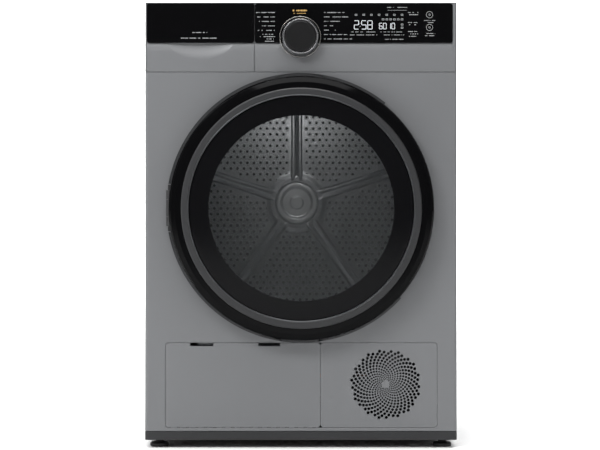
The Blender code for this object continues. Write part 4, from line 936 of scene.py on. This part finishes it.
knobFace = turnedMetal("knobFace", (0.030, 0.030, 0.031), 0.34, (-knobX, -knobZ), 2200.0)
bezelPlating = turnedMetal("bezelPlating", (0.40, 0.39, 0.37), 0.22, (-knobX, -knobZ), 1500.0)
controlFascia()
glassStrip("controlGlass", "control_glass", "cabinet")
glassStrip("drawerGlass", "tank_front_glass", "tank_drawer")
drawerFront()
programKnob()
print("control band made")

# ---- printing and display ----
# places are (x, z) in metres from the middle of the front and the floor
displaySizes = {
    "ink": 0.00007, "wordTall": 0.0012, "stroke": 0.0007, "smallStroke": 0.0006,
    "digitWidth": 0.0084, "digitHeight": 0.0160, "smallWidth": 0.0056, "smallHeight": 0.0110,
    "digitsAt": (0.1014, 0.7987), "minutesAt": (0.1491, 0.7990), "lastAt": (0.1651, 0.7990),
    "keyX": 0.2449, "keyHeights": (0.8261, 0.8019), "keyRadius": 0.0064, "dotRadius": 0.0018,
    "keyStroke": 0.0006,
    "iconHalf": 0.0012, "iconSide": 0.0018, "iconWide": 0.0042,
}
# rows of words: left end, right end and height, in millimetres from the middle of the front and the floor
rightOfKnob = (83.9, 89.6, 74.4, 61.0, 66.7, 87.7, 97.3)
leftOfKnob = (-85.8, -85.8, -85.8, -74.4, -85.8, -73.4, -78.2, -70.6, -68.7)
displayRows = (
    (93.4, 144.9, 793.3), (148.7, 200.2, 793.3), (93.4, 144.9, 787.6), (150.7, 196.4, 787.6),
    (164.0, 202.1, 840.0),
    (160.2, 196.4, 779.2), (204.0, 223.1, 830.3), (206.0, 223.1, 826.1), (204.0, 223.1, 811.2),
    (206.0, 221.2, 807.0),
    (204.0, 223.1, 794.1), (204.0, 223.1, 789.5), (206.0, 219.3, 784.9), (234.6, 255.5, 815.1),
    (236.5, 253.6, 811.2),
    (234.6, 255.5, 790.3), (236.5, 253.6, 786.1),
)
segmentsOf = {"0": "abcdef", "1": "bc", "2": "abged", "5": "afgcd", "6": "afgedc", "8": "abcdefg"}


def digitMarks(text, spot, width, tall, stroke):
    # seven-segment digits; spot is the lower left corner of the first one
    x, z = spot
    marks = []
    for digit in text:
        if digit == ":":
            marks += [(x - tall * 0.03, z + tall * f, stroke, stroke) for f in (0.3, 0.7)]
            x += tall * 0.16
            continue
        half = tall / 2
        places = {"a": (width / 2, tall), "d": (width / 2, 0), "g": (width / 2, half),
                  "b": (width, half * 1.5),
                  "c": (width, half * 0.5), "e": (0, half * 0.5), "f": (0, half * 1.5)}
        for segment in segmentsOf[digit]:
            px, pz = places[segment]
            flat = segment in "adg"
            marks.append((x + px, z + pz, width - stroke if flat else stroke,
                          stroke if flat else half - stroke))
        x += width + tall * 0.20
    return marks


def wordMarks(left, right, height, tall, rng, dense):
    # a row of short bars of uneven length, in place of printed words
    marks = []
    x, end, z = left / 1000, right / 1000, height / 1000
    while x < end - 0.0006:
        length = min(0.0009 + 0.0022 * rng.random(), end - x)
        if rng.random() < dense:
            marks.append((x + length / 2, z, length, tall * (0.75 + 0.4 * rng.random())))
        x += length + 0.0005
    return marks


def inkMesh(marks, finish, face):
    # thin raised tiles on a face that looks towards -Y
    thick = displaySizes["ink"]
    tile = slab((-0.5, 0.5), (-0.5, 0.5), (-0.5, 0.5))
    return repeated(tile, [(x, face - thick / 2, z) for x, z, _, _ in marks], finish,
                    [(w, thick, h) for _, _, w, h in marks])


def ringMark(height, radius, face):
    # a thin printed circle round a touch key
    s = displaySizes
    inner, top = radius - s["keyStroke"], face - s["ink"]
    return turned([(inner, top), (radius, top), (radius, face), (inner, face)], (s["keyX"], height), 40)


def iconMarks(x, z):
    # a small open box
    s = displaySizes
    half, side = s["iconHalf"], s["iconSide"]
    return [(x, z + half, s["iconWide"], 0.0007), (x, z - half, s["iconWide"], 0.0007),
            (x - side, z, 0.0006, 0.0018), (x + side, z, 0.0006, 0.0018)]


def printing():
    s, rng, face = displaySizes, random.Random(7), stripFace
    tall, ink = s["wordTall"], []
    heights = [830.3 - 8.5 * i for i in range(5)] + [788.7 - 4.4 * i for i in range(4)]
    for left, height in zip(leftOfKnob, heights):
        ink += wordMarks(left, -49.6, height, tall, rng, 0.72)
    for right, height in zip(rightOfKnob, [830.3 - 8.4 * i for i in range(7)]):
        ink += wordMarks(43.9, right, height, tall, rng, 0.68)
    gold = wordMarks(-15.8, 11.4, 834.1, 0.0030, rng, 0.9) + wordMarks(-14.3, 9.5, 828.8, tall, rng, 0.8)
    lit = digitMarks("2:58", s["digitsAt"], s["digitWidth"], s["digitHeight"], s["stroke"])
    for text, spot in (("60", s["minutesAt"]), ("10", s["lastAt"])):
        lit += digitMarks(text, spot, s["smallWidth"], s["smallHeight"], s["smallStroke"])
    icons = [(104.9 + 14.6 * i, 825.9) for i in range(7)] + [(156.4 + 7.2 * i, 817.2) for i in range(6)]
    for x, z in icons + [(192.6, 807.4), (192.6, 801.3)]:
        ink += iconMarks(x / 1000, z / 1000)
    for left, right, height in displayRows:
        ink += wordMarks(left, right, height, 0.0011, rng, 0.7)
    drawerInk = wordMarks(-209.8, -177.4, 792.2, 0.0013, rng, 0.8)
    drawerInk += wordMarks(-228.8, -160.2, 781.5, 0.0013, rng, 0.8)
    ink.append((0.1831, 0.8345, 0.036, 0.0004))
    radii = (s["keyRadius"], s["dotRadius"])
    rings = [ringMark(height, radius, face) for radius in radii for height in s["keyHeights"]]
    addPiece("stripPrint", inkMesh(ink, inkWhite, face), "gloss_black", "cabinet")
    addPiece("stripKeys", joined(*rings), "gloss_black", "cabinet", finish=inkWhite)
    addPiece("stripDigits", inkMesh(lit, ledWhite, face), "gloss_black", "cabinet")
    addPiece("stripGold", inkMesh(gold, inkGold, face), "gloss_black", "cabinet")
    addPiece("drawerPrint", inkMesh(drawerInk, inkWhite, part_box("tank_front_glass")[0].y), "gloss_black",
             "tank_drawer")


printing()
print("printing made")

# ---- door ----
doorSizes = {
    "gap": 0.004, "wall": 0.003, "rim": 0.032, "faceRadius": 0.250, "trimOuter": 0.228, "trimWidth": 0.015,
    "windowEdge": 0.0365, "proud": 0.045, "glass": 0.0035, "clearRadius": 0.175, "bowlDepth": 0.029,
    "bowlGlass": 0.004, "frameRadius": 0.225, "frameBore": 0.196, "gripFrom": -42.0, "gripTo": 51.3,
}
doorAxis = (0.0, doorZ)


def inFront(profile):
    # stations given as (radius, height in front of the front panel)
    return [(radius, front - high) for radius, high in profile]


def gripSector(inner, outer, near, far):
    # a stretch of ring between two angles, used to cut the finger recess behind the rim
    s = doorSizes
    steps = 40
    sweep = s["gripTo"] - s["gripFrom"]
    angles = [math.radians(s["gripFrom"] + sweep * i / steps) for i in range(steps + 1)]
    outline = [(inner * math.cos(a), doorZ + inner * math.sin(a)) for a in angles]
    outline += [(outer * math.cos(a), doorZ + outer * math.sin(a)) for a in reversed(angles)]
    return raised(outline, near, far)


def doorRing():
    s = doorSizes
    w, shelf, faceIn = s["wall"], s["windowEdge"] - 0.0065, s["trimOuter"] + 0.0005
    bore = s["trimOuter"] - s["trimWidth"] - 0.0025
    profile = [(doorRadius, s["gap"]), (s["faceRadius"] + 0.0012, s["rim"] - 0.004),
               (s["faceRadius"], s["rim"]),
               (s["faceRadius"] - 0.0024, s["rim"] + w), (faceIn + 0.010, s["rim"] + 0.0058),
               (faceIn, s["rim"] + 0.0062), (faceIn, shelf), (bore, shelf), (bore, shelf - w),
               (s["faceRadius"] - 0.006, shelf - w), (doorRadius - w, s["gap"])]
    radii = [0.0008, 0.004, 0.0009, 0.0012, 0.004, 0.0008, 0.0004, 0.0004, 0.0004, 0.002, 0.0008]
    ring = turned(softened(inFront(profile), radii, True, 4), doorAxis, 192)
    hingeLow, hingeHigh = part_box("hinge_bracket")
    cutters = [
        gripSector(s["faceRadius"] - 0.011, doorRadius + 0.01, front - s["rim"] + 0.007, front + 0.01),
        slab((ringLow.x - 0.02, hingeLow.x + 0.024), (front - shelf + w, front + 0.01),
             (hingeLow.z - 0.002, hingeHigh.z + 0.002)),
    ]
    ring = carved(ring, cutters)
    addPiece("doorRing", ring, "gloss_black", "door", ["door_ring"], angle=26)


def doorTrim():
    s = doorSizes
    outer, inner = s["trimOuter"], s["trimOuter"] - s["trimWidth"]
    seat = s["windowEdge"] - 0.006
    body = [(outer, seat), (outer, s["rim"] + 0.0062), (outer - 0.0022, s["rim"] + 0.0078),
            (inner + 0.0030, s["rim"] + 0.0080), (inner + 0.0022, s["rim"] + 0.0074), (inner + 0.0022, seat)]
    body = softened(inFront(body), [0.0003, 0.0012, 0.0016, 0.0006, 0.0003, 0.0003], True, 4)
    lip = [(inner + 0.0021, seat), (inner + 0.0021, s["rim"] + 0.0078), (inner + 0.0010, s["rim"] + 0.0082),
           (inner, s["rim"] + 0.0070), (inner, seat)]
    lip = softened(inFront(lip), [0.0002, 0.0006, 0.0006, 0.0006, 0.0002], True, 4)
    addPiece("doorTrim", turned(body, doorAxis, 192), "satin_trim", "door", ["door_trim_ring"])
    addPiece("doorTrimLip", turned(lip, doorAxis, 192), "satin_trim", "door", finish=lipPlating)


def domeHeight(radius):
    # the window's dome: height in front of the panel at a distance from its middle
    s = doorSizes
    edge = s["trimOuter"] - s["trimWidth"] - 0.0008
    return s["proud"] - (s["proud"] - s["windowEdge"]) * (radius / edge) ** 2.2


def doorWindow():
    s = doorSizes
    edge = s["trimOuter"] - s["trimWidth"] - 0.0008
    outside = [(edge * k / 28, domeHeight(edge * k / 28)) for k in range(29)]
    inside = [(r, h - s["glass"]) for r, h in reversed(outside)]
    outside[-1] = (edge, outside[-1][1] - 0.0006)
    outside.insert(28, (edge - 0.0008, domeHeight(edge)))
    pane = turned(inFront(outside + inside), doorAxis, 160)
    addPiece("doorWindow", pane, "smoked_window", "door", ["door_window"], angle=50)


def doorInner():
    s = doorSizes
    top, back, w = s["windowEdge"] - 0.010, s["gap"], 0.003
    outer, bore = s["frameRadius"], s["frameBore"]
    frame = [(outer, back), (outer, top), (outer - w, top), (outer - w, back + w), (bore + w, back + w),
             (bore + w, top), (bore, top), (bore, back)]
    frame = turned(softened(inFront(frame), [0.002, 0.0006, 0.0006, 0.001, 0.001, 0.0006, 0.0006, 0.002],
                            True, 3),
                   doorAxis, 144)
    addPiece("doorInnerFrame", frame, "dark_grey", "door", ["door_inner_frame"])
    d, g = -s["bowlDepth"], s["bowlGlass"]
    bowl = [(0, d), (0.120, d), (0.158, d + 0.005), (0.168, d + 0.017), (s["clearRadius"] + 0.003, 0.015),
            (bore - 0.0005, 0.016), (bore - 0.0005, 0.020), (s["clearRadius"], 0.020), (0.164, d + 0.019),
            (0.155, d + 0.009), (0.118, d + g), (0, d + g)]
    radii = [0, 0.02, 0.02, 0.012, 0.006, 0.001, 0.001, 0.006, 0.012, 0.02, 0.02, 0]
    addPiece("doorBowl", turned(softened(inFront(bowl), radii, False, 6), doorAxis, 144), "bowl_glass",
             "door",
             ["door_bowl"], angle=50)
    spots, turns = [], []
    for i in range(10):
        angle = 2 * math.pi * (i + 0.5) / 10
        radius = (outer + bore) / 2
        if abs(angle - math.pi) < 0.25 or angle < 0.2:
            continue
        spots.append((radius * math.cos(angle), front - back, doorZ + radius * math.sin(angle)))
        turns.append((math.pi, 0, 0))
    addPiece("doorScrews", repeated(screwHead(0.0036, 0.0016), spots, finishes["steel"], turns=turns),
             "steel", "door")


def screwHead(radius, tall):
    # a pan head with a cross recess; it stands on y = 0 and faces -Y
    profile = softened([(0, -tall), (radius * 0.55, -tall), (radius, -tall * 0.45), (radius, 0), (0, 0)],
                       [0, 0.0004, 0.0006, 0, 0], False, 2)
    head = turned(profile, (0, 0), 16)
    slot = radius * 0.22
    arms = [slab((-radius * 0.6, radius * 0.6), (-tall - 0.01, -tall * 0.45), (-slot / 2, slot / 2)),
            slab((-slot / 2, slot / 2), (-tall - 0.01, -tall * 0.45), (-radius * 0.6, radius * 0.6))]
    return carved(head, arms)


def doorHardware():
    for name, node, body in (("doorHingeArm", "door_hinge_arm", "door"),
                             ("hingeBracket", "hinge_bracket", "cabinet"),
                             ("doorLatch", "door_latch", "door"),
                             ("latchReceiver", "latch_receiver", "cabinet")):
        copy = nodes[node].data.copy()
        bm = bmesh.new()
        bm.from_mesh(copy)
        bmesh.ops.remove_doubles(bm, verts=bm.verts, dist=1e-6)
        bmesh.ops.dissolve_limit(bm, angle_limit=math.radians(3), verts=bm.verts, edges=bm.edges)
        mesh = fromBmesh(name, bm)
        addPiece(name, eased(mesh, 0.0004, 2, 40), "matt_black", body, [node])


def mouthGasket():
    low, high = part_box("door_gasket")
    inner, outer = 0.2010, 0.2045
    profile = [(inner, low.y + 0.0012), (inner + 0.0008, low.y), (outer - 0.0008, low.y),
               (outer, low.y + 0.0010),
               (outer, high.y), (inner, high.y)]
    profile = softened(profile, [0.0008, 0.0008, 0.0008, 0.0006, 0.0006, 0.0006], True, 3)
    addPiece("mouthGasket", turned(profile, doorAxis, 160), "rubber", "cabinet", ["door_gasket"])


lipPlating = turnedMetal("lipPlating", (0.085, 0.088, 0.092), 0.30, (0, -doorZ), 1200.0)
doorRing()
doorTrim()
doorWindow()
doorInner()
doorHardware()
mouthGasket()
print("door made")

# ---- drum ----
drumSizes = {
    "radius": 0.280, "sheet": 0.0008, "wallY": 0.2725, "hub": 0.048, "spokes": 5, "spokeHalf": 0.0120,
    "pitch": 0.0143, "hole": 0.0028, "panelIn": 0.062, "panelOut": 0.226, "panelGap": 0.0185,
    "lifters": 3, "lifterHeight": 0.058, "lifterHalf": 0.030,
}


def holeGrid():
    # hexagonal rows of hole centres inside the five panels between the spokes
    s = drumSizes
    places = []
    rowsUp = int(s["panelOut"] / (s["pitch"] * 0.866)) + 1
    for j in range(-rowsUp, rowsUp + 1):
        for i in range(-rowsUp - 2, rowsUp + 3):
            x = (i + 0.5 * (j % 2)) * s["pitch"]
            z = j * s["pitch"] * 0.866
            radius = math.hypot(x, z)
            if not s["panelIn"] < radius < s["panelOut"]:
                continue
            share = (math.degrees(math.atan2(x, z)) % 72 + 72) % 72
            offset = min(share, 72 - share)
            if radius * math.sin(math.radians(offset)) < s["panelGap"]:
                continue
            places.append((x, 0.0, z + doorZ))
    return places


def drumBackWall():
    # the pressed rear wall: dished centre, conical rim, five double ribs and, between them, panels of hole
    # lips with near-black discs as painted shade for the holes
    s = drumSizes
    rim, y, t = s["radius"] - s["sheet"] - 0.0005, s["wallY"], 0.0009
    faceProfile = [(0, y), (0.056, y), (0.064, y + 0.0030), (0.070, y + 0.0040), (0.230, y + 0.0042),
                   (0.248, y + 0.0115), (rim, y + 0.0120)]
    faceProfile = softened(faceProfile, [0, 0.008, 0.006, 0.006, 0.020, 0.012, 0], False, 5)
    backProfile = [(r, depth + t) for r, depth in reversed(faceProfile)]
    disc = turned(faceProfile + backProfile, doorAxis, 144)
    ribs = []
    for i in range(s["spokes"]):
        turn = Matrix.Translation((0, 0, doorZ)) @ Matrix.Rotation(math.radians(72 * i), 4, "Y")
        ribs.append(spoke(turn))
    rings = repeated(perforationCup(), [(x, y + 0.0040, z) for x, _, z in holeGrid()],
                     finishes["drum_steel"])
    addPiece("drumBackWall", disc, "drum_steel", "drum", ["drum_rear_wall"])
    addPiece("drumBackRibs", joined(*ribs), "drum_steel", "drum")
    addPiece("drumBackCups", rings, "drum_steel", "drum", angle=60)
    # near-black discs behind the hole lips: painted shade in place of holes cut through the wall
    addPiece("drumBackHoles", repeated(holeShadeDisc(), [(x, y + 0.0033, z) for x, _, z in holeGrid()],
                                       paintedOpeningShade),
             "drum_steel", "drum")
    print("perforations:", len(holeGrid()))


def spoke(turn):
    # one rib: two rounded ridges with a groove between them, wider at the hub
    s = drumSizes
    y = s["wallY"]
    section = [(-1.0, 0.0042), (-0.92, 0.0015), (-0.70, -0.0016), (-0.45, -0.0018), (-0.20, 0.0004),
               (0.0, 0.0016), (0.20, 0.0004), (0.45, -0.0018), (0.70, -0.0016), (0.92, 0.0015),
               (1.0, 0.0042)]
    lengthStations = [(0.040, 1.35, 0.4), (0.050, 1.30, 0.9), (0.062, 1.15, 1.0), (0.100, 1.0, 1.0),
                      (0.160, 1.0, 1.0),
                      (0.205, 1.05, 1.0), (0.222, 1.2, 0.7), (0.232, 1.45, 0.1)]
    bm = bmesh.new()
    rows = []
    for z, wide, tall in lengthStations:
        row = [bm.verts.new((u * s["spokeHalf"] * wide, y + 0.0042 + (depth - 0.0042) * tall, z))
               for u, depth in section]
        row += [bm.verts.new((side * s["spokeHalf"] * wide, y + 0.0050, z)) for side in (1, -1)]
        rows.append(row)
    for near, far in zip(rows, rows[1:]):
        for i in range(len(near)):
            j = (i + 1) % len(near)
            bm.faces.new((near[i], near[j], far[j], far[i]))
    bm.faces.new(rows[0])
    bm.faces.new(rows[-1])
    mesh = fromBmesh("spoke", bm)
    mesh.transform(turn)
    return mesh


def perforationCup():
    # the raised lip round one hole
    r = drumSizes["hole"]
    profile = [(r, 0.0004), (r, -0.0004), (r + 0.0006, -0.0006), (r + 0.0015, 0.0001), (r + 0.0021, -0.0010),
               (r + 0.0027, -0.0010), (r + 0.0033, 0.0004)]
    return turned(profile, (0, 0), 16)


# a near-black disc set behind one hole lip: painted shade where the hole would be
def holeShadeDisc():
    r = drumSizes["hole"]
    return turned([(0, 0), (r + 0.0002, 0), (r + 0.0002, 0.0006), (0, 0.0006)], (0, 0), 12)


def drumHub():
    s = drumSizes
    y = s["wallY"]
    profile = [(0, y - 0.0065), (0.012, y - 0.0065), (0.0155, y - 0.0045), (0.030, y - 0.0040),
               (0.0360, y - 0.0085),
               (0.0430, y - 0.0085), (s["hub"] - 0.001, y - 0.0030), (s["hub"], y + 0.003), (0, y + 0.003)]
    profile = softened(profile, [0, 0.003, 0.003, 0.006, 0.004, 0.004, 0.003, 0.001, 0], False, 5)
    addPiece("drumHub", turned(profile, doorAxis, 128), "drum_steel", "drum", finish=hubFinish)


def drumTube():
    # the rolled shell with its front neck, pressed rings and rear edge
    s = drumSizes
    low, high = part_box("drum_shell")
    r, t = s["radius"], s["sheet"]
    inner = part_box("drum_seal_front")[1].x + 0.0002
    start, end = low.y, high.y
    outside = [(inner + t, start), (inner + t, start + 0.012), (r, start + 0.019)]
    for k in range(1, 4):
        y = start + (end - start) * k / 4
        outside += [(r, y - 0.006), (r - 0.0022, y - 0.003), (r - 0.0022, y + 0.003), (r, y + 0.006)]
    outside += [(r, end)]
    outside = softened(outside, 0.003, False, 3)
    inside = [(rad - t, y) for rad, y in reversed(outside)]
    addPiece("drumTube", turned(outside + inside, doorAxis, 160), "drum_steel", "drum", ["drum_shell"])


def drumLifters():
    s = drumSizes
    for index in range(s["lifters"]):
        node = "drum_lifter_%d" % (index + 1)
        angle = math.radians(60 + 360 * index / s["lifters"])
        low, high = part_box(node)
        inside = s["radius"] - s["sheet"] - 0.001
        root = math.sqrt(inside ** 2 - s["lifterHalf"] ** 2) - 0.001
        tip = inside - s["lifterHeight"]
        outline = [(root, -s["lifterHalf"]), (tip + 0.010, -0.012), (tip, -0.004), (tip, 0.004),
                   (tip + 0.010, 0.012),
                   (root, s["lifterHalf"])]
        outline = softened(outline, [0.002, 0.012, 0.006, 0.006, 0.012, 0.002], True, 5)
        lifter = raised(outline, low.y, high.y)
        lifter = eased(lifter, 0.0040, 3, 60)
        turn = Matrix.Translation((0, 0, doorZ)) @ Matrix.Rotation(-angle, 4, "Y")
        lifter.transform(turn)
        addPiece("drumLifter%d" % (index + 1), lifter, "inner_plastic", "drum", [node])


hubFinish = turnedMetal("hubSteel", (0.74, 0.75, 0.76), 0.34, (0, -doorZ), 700.0)
drumBackWall()
drumHub()
drumTube()
drumLifters()
print("drum made")

# ---- base, feet and back ----
slotOf = {row["node"]: row["material_slot"] for row in frame["record"]["subparts"]}
bodyOf = {node: body for body, members in frame["record"]["behaviour"]["bodies"].items() for node in members}


def camel(node):
    first, *rest = node.split("_")
    return first + "".join(word.capitalize() for word in rest)


def refined(node, ease=0.0005, angle=40, finish=None, shade=34):
    # a node's own shape with merged points, eased edges and smooth round sides
    bm = bmesh.new()
    bm.from_mesh(nodes[node].data)
    bmesh.ops.remove_doubles(bm, verts=bm.verts, dist=2e-6)
    bmesh.ops.dissolve_limit(bm, angle_limit=math.radians(1), verts=bm.verts, edges=bm.edges)
    mesh = fromBmesh(node, bm)
    if ease:
        mesh = eased(mesh, ease, 2, angle)
    return addPiece(camel(node), mesh, slotOf[node], bodyOf[node], [node], finish, shade)


footSizes = {"pad": 0.0178, "padTall": 0.0076, "stem": 0.0078, "tall": 0.036}


def levellingFoot(node):
    # a moulded pad with a soft edge and a threaded stem
    s = footSizes
    low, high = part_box(node)
    x, y = (low.x + high.x) / 2, (low.y + high.y) / 2
    profile = [(0, 0.0), (s["pad"] - 0.001, 0.0), (s["pad"], 0.0012), (s["pad"], s["padTall"] - 0.0016),
               (s["pad"] - 0.002, s["padTall"]), (s["stem"] + 0.0022, s["padTall"] + 0.0006),
               (s["stem"], s["padTall"] + 0.0024)]
    profile = softened(profile, 0.0008, False, 3)
    z = s["padTall"] + 0.003
    while z < s["tall"] - 0.002:
        profile += [(s["stem"], z), (s["stem"] - 0.0007, z + 0.00075)]
        z += 0.0015
    profile += [(s["stem"] - 0.0007, s["tall"]), (0, s["tall"])]
    foot = turned(profile, (0, 0), 40)
    foot.transform(Matrix(((1, 0, 0, x), (0, 0, -1, y), (0, 1, 0, 0), (0, 0, 0, 1))))
    bm = bmesh.new()
    bm.from_mesh(foot)
    addPiece(camel(node), fromBmesh("foot", bm), "matt_black", bodyOf[node], [node])


coverSizes = {
    "drumSpot": (0.0, 0.458), "drumRadius": 0.215, "fanSpot": (0.170, 0.125), "fanRadius": 0.075,
    "flange": 0.012,
    "deep": 0.0247, "screws": 18,
}


def teardrop(grow, steps=40):
    # the taut outline round the drum's circle and the fan's circle
    s = coverSizes
    big, small = Vector(s["drumSpot"]), Vector(s["fanSpot"])
    bigRadius, smallRadius = s["drumRadius"] + grow, s["fanRadius"] + grow
    reach = small - big
    lean = math.acos((bigRadius - smallRadius) / reach.length)
    heading = math.atan2(reach.y, reach.x)
    points = []
    for centre, radius, start, end in ((big, bigRadius, heading + lean, heading - lean + 2 * math.pi),
                                       (small, smallRadius, heading - lean, heading + lean)):
        for k in range(steps + 1):
            angle = start + (end - start) * k / steps
            points.append((centre.x + radius * math.cos(angle), centre.y + radius * math.sin(angle)))
    return points


def stacked(layers, place):
    # outlines with the same number of points, joined one after another and closed at both ends
    bm = bmesh.new()
    rows = [[bm.verts.new(place(point, level)) for point in outline] for outline, level in layers]
    for near, far in zip(rows, rows[1:]):
        for i in range(len(near)):
            j = (i + 1) % len(near)
            bm.faces.new((near[i], near[j], far[j], far[i]))
    bm.faces.new(rows[0])
    bm.faces.new(rows[-1])
    return fromBmesh("stacked", bm)


def rearCover():
    # the pressed air-duct cover on the back: flange, drafted wall, rounded shoulder and two beads
    s = coverSizes
    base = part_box("rear_cover")[0].y
    levels = [(s["flange"], 0.0), (s["flange"], 0.0008), (0.0030, 0.0011), (0.0008, 0.0020), (0.0, 0.0040),
              (-0.0012, 0.0185), (-0.0030, 0.0222), (-0.0062, 0.0240), (-0.0120, s["deep"]),
              (-0.0240, s["deep"]),
              (-0.0275, s["deep"] - 0.0016), (-0.0315, s["deep"] - 0.0016), (-0.0350, s["deep"]),
              (-0.0470, s["deep"]), (-0.0505, s["deep"] - 0.0016), (-0.0545, s["deep"] - 0.0016),
              (-0.0580, s["deep"])]
    shell = stacked([(teardrop(grow), level) for grow, level in levels],
                    lambda point, level: (point[0], base + level, point[1]))
    addPiece("rearCover", shell, "zinc", "cabinet", ["rear_cover"])
    rim = teardrop(s["flange"] * 0.55, 60)
    step = len(rim) / s["screws"]
    spots = [rim[int(k * step)] for k in range(s["screws"])]
    places = [(x, base + 0.0010, z) for x, z in spots]
    turns = [(0, 0, math.pi)] * len(places)
    return places, turns


def backScrews(places, turns):
    # sheet-metal screws down both edges and along the top of the back
    low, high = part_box("rear_panel")
    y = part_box("side_panel_left")[1].y + 0.0001
    for k in range(7):
        z = 0.070 + k * 0.118
        places += [(low.x + 0.010, y, z), (high.x - 0.010, y, z)]
    places += [(x, y, high.z - 0.009) for x in (-0.20, -0.07, 0.07, 0.20)]
    turns += [(0, 0, math.pi)] * (len(places) - len(turns))
    heads = repeated(screwHead(0.0038, 0.0018), places, finishes["steel"], turns=turns)
    addPiece("backScrews", heads, "steel", "cabinet")


for footNode in ("foot_front_left", "foot_front_right", "foot_rear_left", "foot_rear_right"):
    levellingFoot(footNode)
refined("base_tray", 0.0012, 40)
refined("rear_panel", 0.0)
backScrews(*rearCover())
refined("cable_gland", 0.0006)
print("base and back made")


# ---- mouth, filter and water tank ----
def mouthTunnel():
    # the moulded bulkhead and the lint filter keep their own shapes; rows of near-black slots on the filter
    # are painted shade for its openings
    refined("front_bulkhead", 0.0)
    low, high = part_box("lint_filter")
    refined("lint_filter", 0.0006)
    columns, rows = 22, 9
    spots = []
    for i in range(columns):
        for k in range(rows):
            spots.append((low.x + 0.010 + (high.x - low.x - 0.020) * i / (columns - 1),
                          low.y - 0.0001, low.z + 0.012 + 0.075 * k / (rows - 1)))
    # near-black slots on the filter face: painted shade in place of real mesh openings
    slot = slab((-0.0024, 0.0024), (-0.0003, 0.0003), (-0.0032, 0.0032), 0.0015)
    addPiece("filterMesh", repeated(slot, spots, paintedOpeningShade), "inner_plastic", "filter", angle=60)


def waterTank():
    # the tank keeps its shape and gains moulded ribs along both long sides
    refined("tank_container", 0.0016)
    low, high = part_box("tank_container")
    spots = [(x, low.y + 0.030 + (high.y - low.y - 0.060) * k / 9, (low.z + high.z) / 2)
             for x in (low.x, high.x) for k in range(10)]
    rib = eased(slab((-0.0007, 0.0007), (-0.0030, 0.0030), (-0.0260, 0.0260)), 0.0006)
    addPiece("tankRibs", repeated(rib, spots, finishes["tank_plastic"]), "tank_plastic", "tank_drawer")


mouthTunnel()
waterTank()
for node, ease in (("tank_housing", 0.0006), ("drum_seal_front", 0.0008), ("drum_seal_rear", 0.0008),
                   ("drum_shaft", 0.0006), ("support_roller_left", 0.0008), ("support_roller_right", 0.0008),
                   ("drive_motor", 0.0010), ("motor_shaft", 0.0003), ("blower_wheel", 0.0004),
                   ("fan_housing", 0.0006), ("idler_arm", 0.0005), ("idler_pulley", 0.0005),
                   ("compressor", 0.0020), ("evaporator", 0.0002), ("condenser", 0.0002),
                   ("duct_lid", 0.0008),
                   ("exchanger_cover", 0.0012), ("power_board", 0.0012), ("refrigerant_pipe", 0.0),
                   ("condensate_pump", 0.0010), ("rear_bearing", 0.0004)):
    refined(node, ease)
refined("drum_belt", 0.0003, finish=beltRubber)
print("inner pieces made")


# ---- stage ----
cameraSizes = {
    "place": (-0.067, -4.2825, 0.538), "lens": 125.9, "shiftX": 0.0569, "shiftY": -0.0985,
}


def studio():
    floorMesh = bpy.data.meshes.new("floor")
    reach, rise, bend, turn = 11.0, 7.0, 1.5, 8.5
    outline = [(-10.0, 0.0), (turn, 0.0)]
    outline += [(turn + bend * math.sin(a), bend - bend * math.cos(a)) for a in
                [math.pi / 2 * k / 16 for k in range(1, 17)]] + [(turn + bend, rise)]
    verts = [(x, y, z) for x in (-reach, reach) for y, z in outline]
    count = len(outline)
    faces = [(i, i + 1, count + i + 1, count + i) for i in range(count - 1)]
    floorMesh.from_pydata(verts, [], faces)
    floorMesh.shade_smooth()
    paper = Finish("studioPaper", (0.92, 0.92, 0.92), 0.85)
    cloud = paper.noise(1.5, 2.0)
    paper.set("Base Color", paper.ramp(cloud, [(0.3, (0.91, 0.91, 0.91)), (0.7, (0.93, 0.93, 0.93))]))
    floorMesh.materials.append(paper.material)
    floor = linked("studioFloor", floorMesh)


def softBox(name, place, target, width, depth, power):
    light = bpy.data.lights.new(name, "AREA")
    light.shape = "RECTANGLE"
    light.size, light.size_y, light.energy = width, depth, power
    lamp = linked(name, light)
    lamp.location = place
    lamp.rotation_euler = (Vector(target) - Vector(place)).to_track_quat("-Z", "Y").to_euler()


studio()
softBox("keyLight", (-1.7, -2.3, 2.6), (0, 0, 0.45), 1.1, 1.1, 62)
softBox("topLight", (0.1, -0.9, 3.0), (0, -0.2, 0.4), 1.6, 1.0, 42)
softBox("sideLight", (-2.4, -1.6, 0.9), (0, -0.3, 0.5), 0.5, 1.8, 14)
softBox("fillLight", (2.4, -2.2, 1.3), (0, -0.3, 0.5), 0.7, 1.6, 10)
softBox("backdropLight", (0.0, 5.2, 5.0), (0, 9.5, 1.6), 9.0, 2.0, 1300)
softBox("rearFloorLight", (0.0, 4.2, 4.6), (0, 4.2, 0.0), 8.0, 5.0, 620)
softBox("floorLight", (0.0, -3.6, 3.6), (0, -1.6, 0.0), 3.0, 1.2, 60)
softBox("drumLight", (0.0, -0.10, 0.665), (0, 0.27, 0.44), 0.20, 0.08, 0.26)
world = bpy.data.worlds.new("studioAir")
bpy.context.scene.world = world
world.use_nodes = True
world.node_tree.nodes["Background"].inputs[0].default_value = (1.0, 1.0, 1.0, 1)
world.node_tree.nodes["Background"].inputs[1].default_value = 0.16
bpy.context.scene.view_settings.view_transform = "Standard"

camera = bpy.data.cameras.new("camera")
camera.sensor_width = 36
camera.lens = cameraSizes["lens"]
camera.shift_x, camera.shift_y = cameraSizes["shiftX"], cameraSizes["shiftY"]
view = linked("camera", camera)
view.location = cameraSizes["place"]
view.rotation_euler = (math.pi / 2, 0, 0)
bpy.context.scene.camera = view
print("stage set")
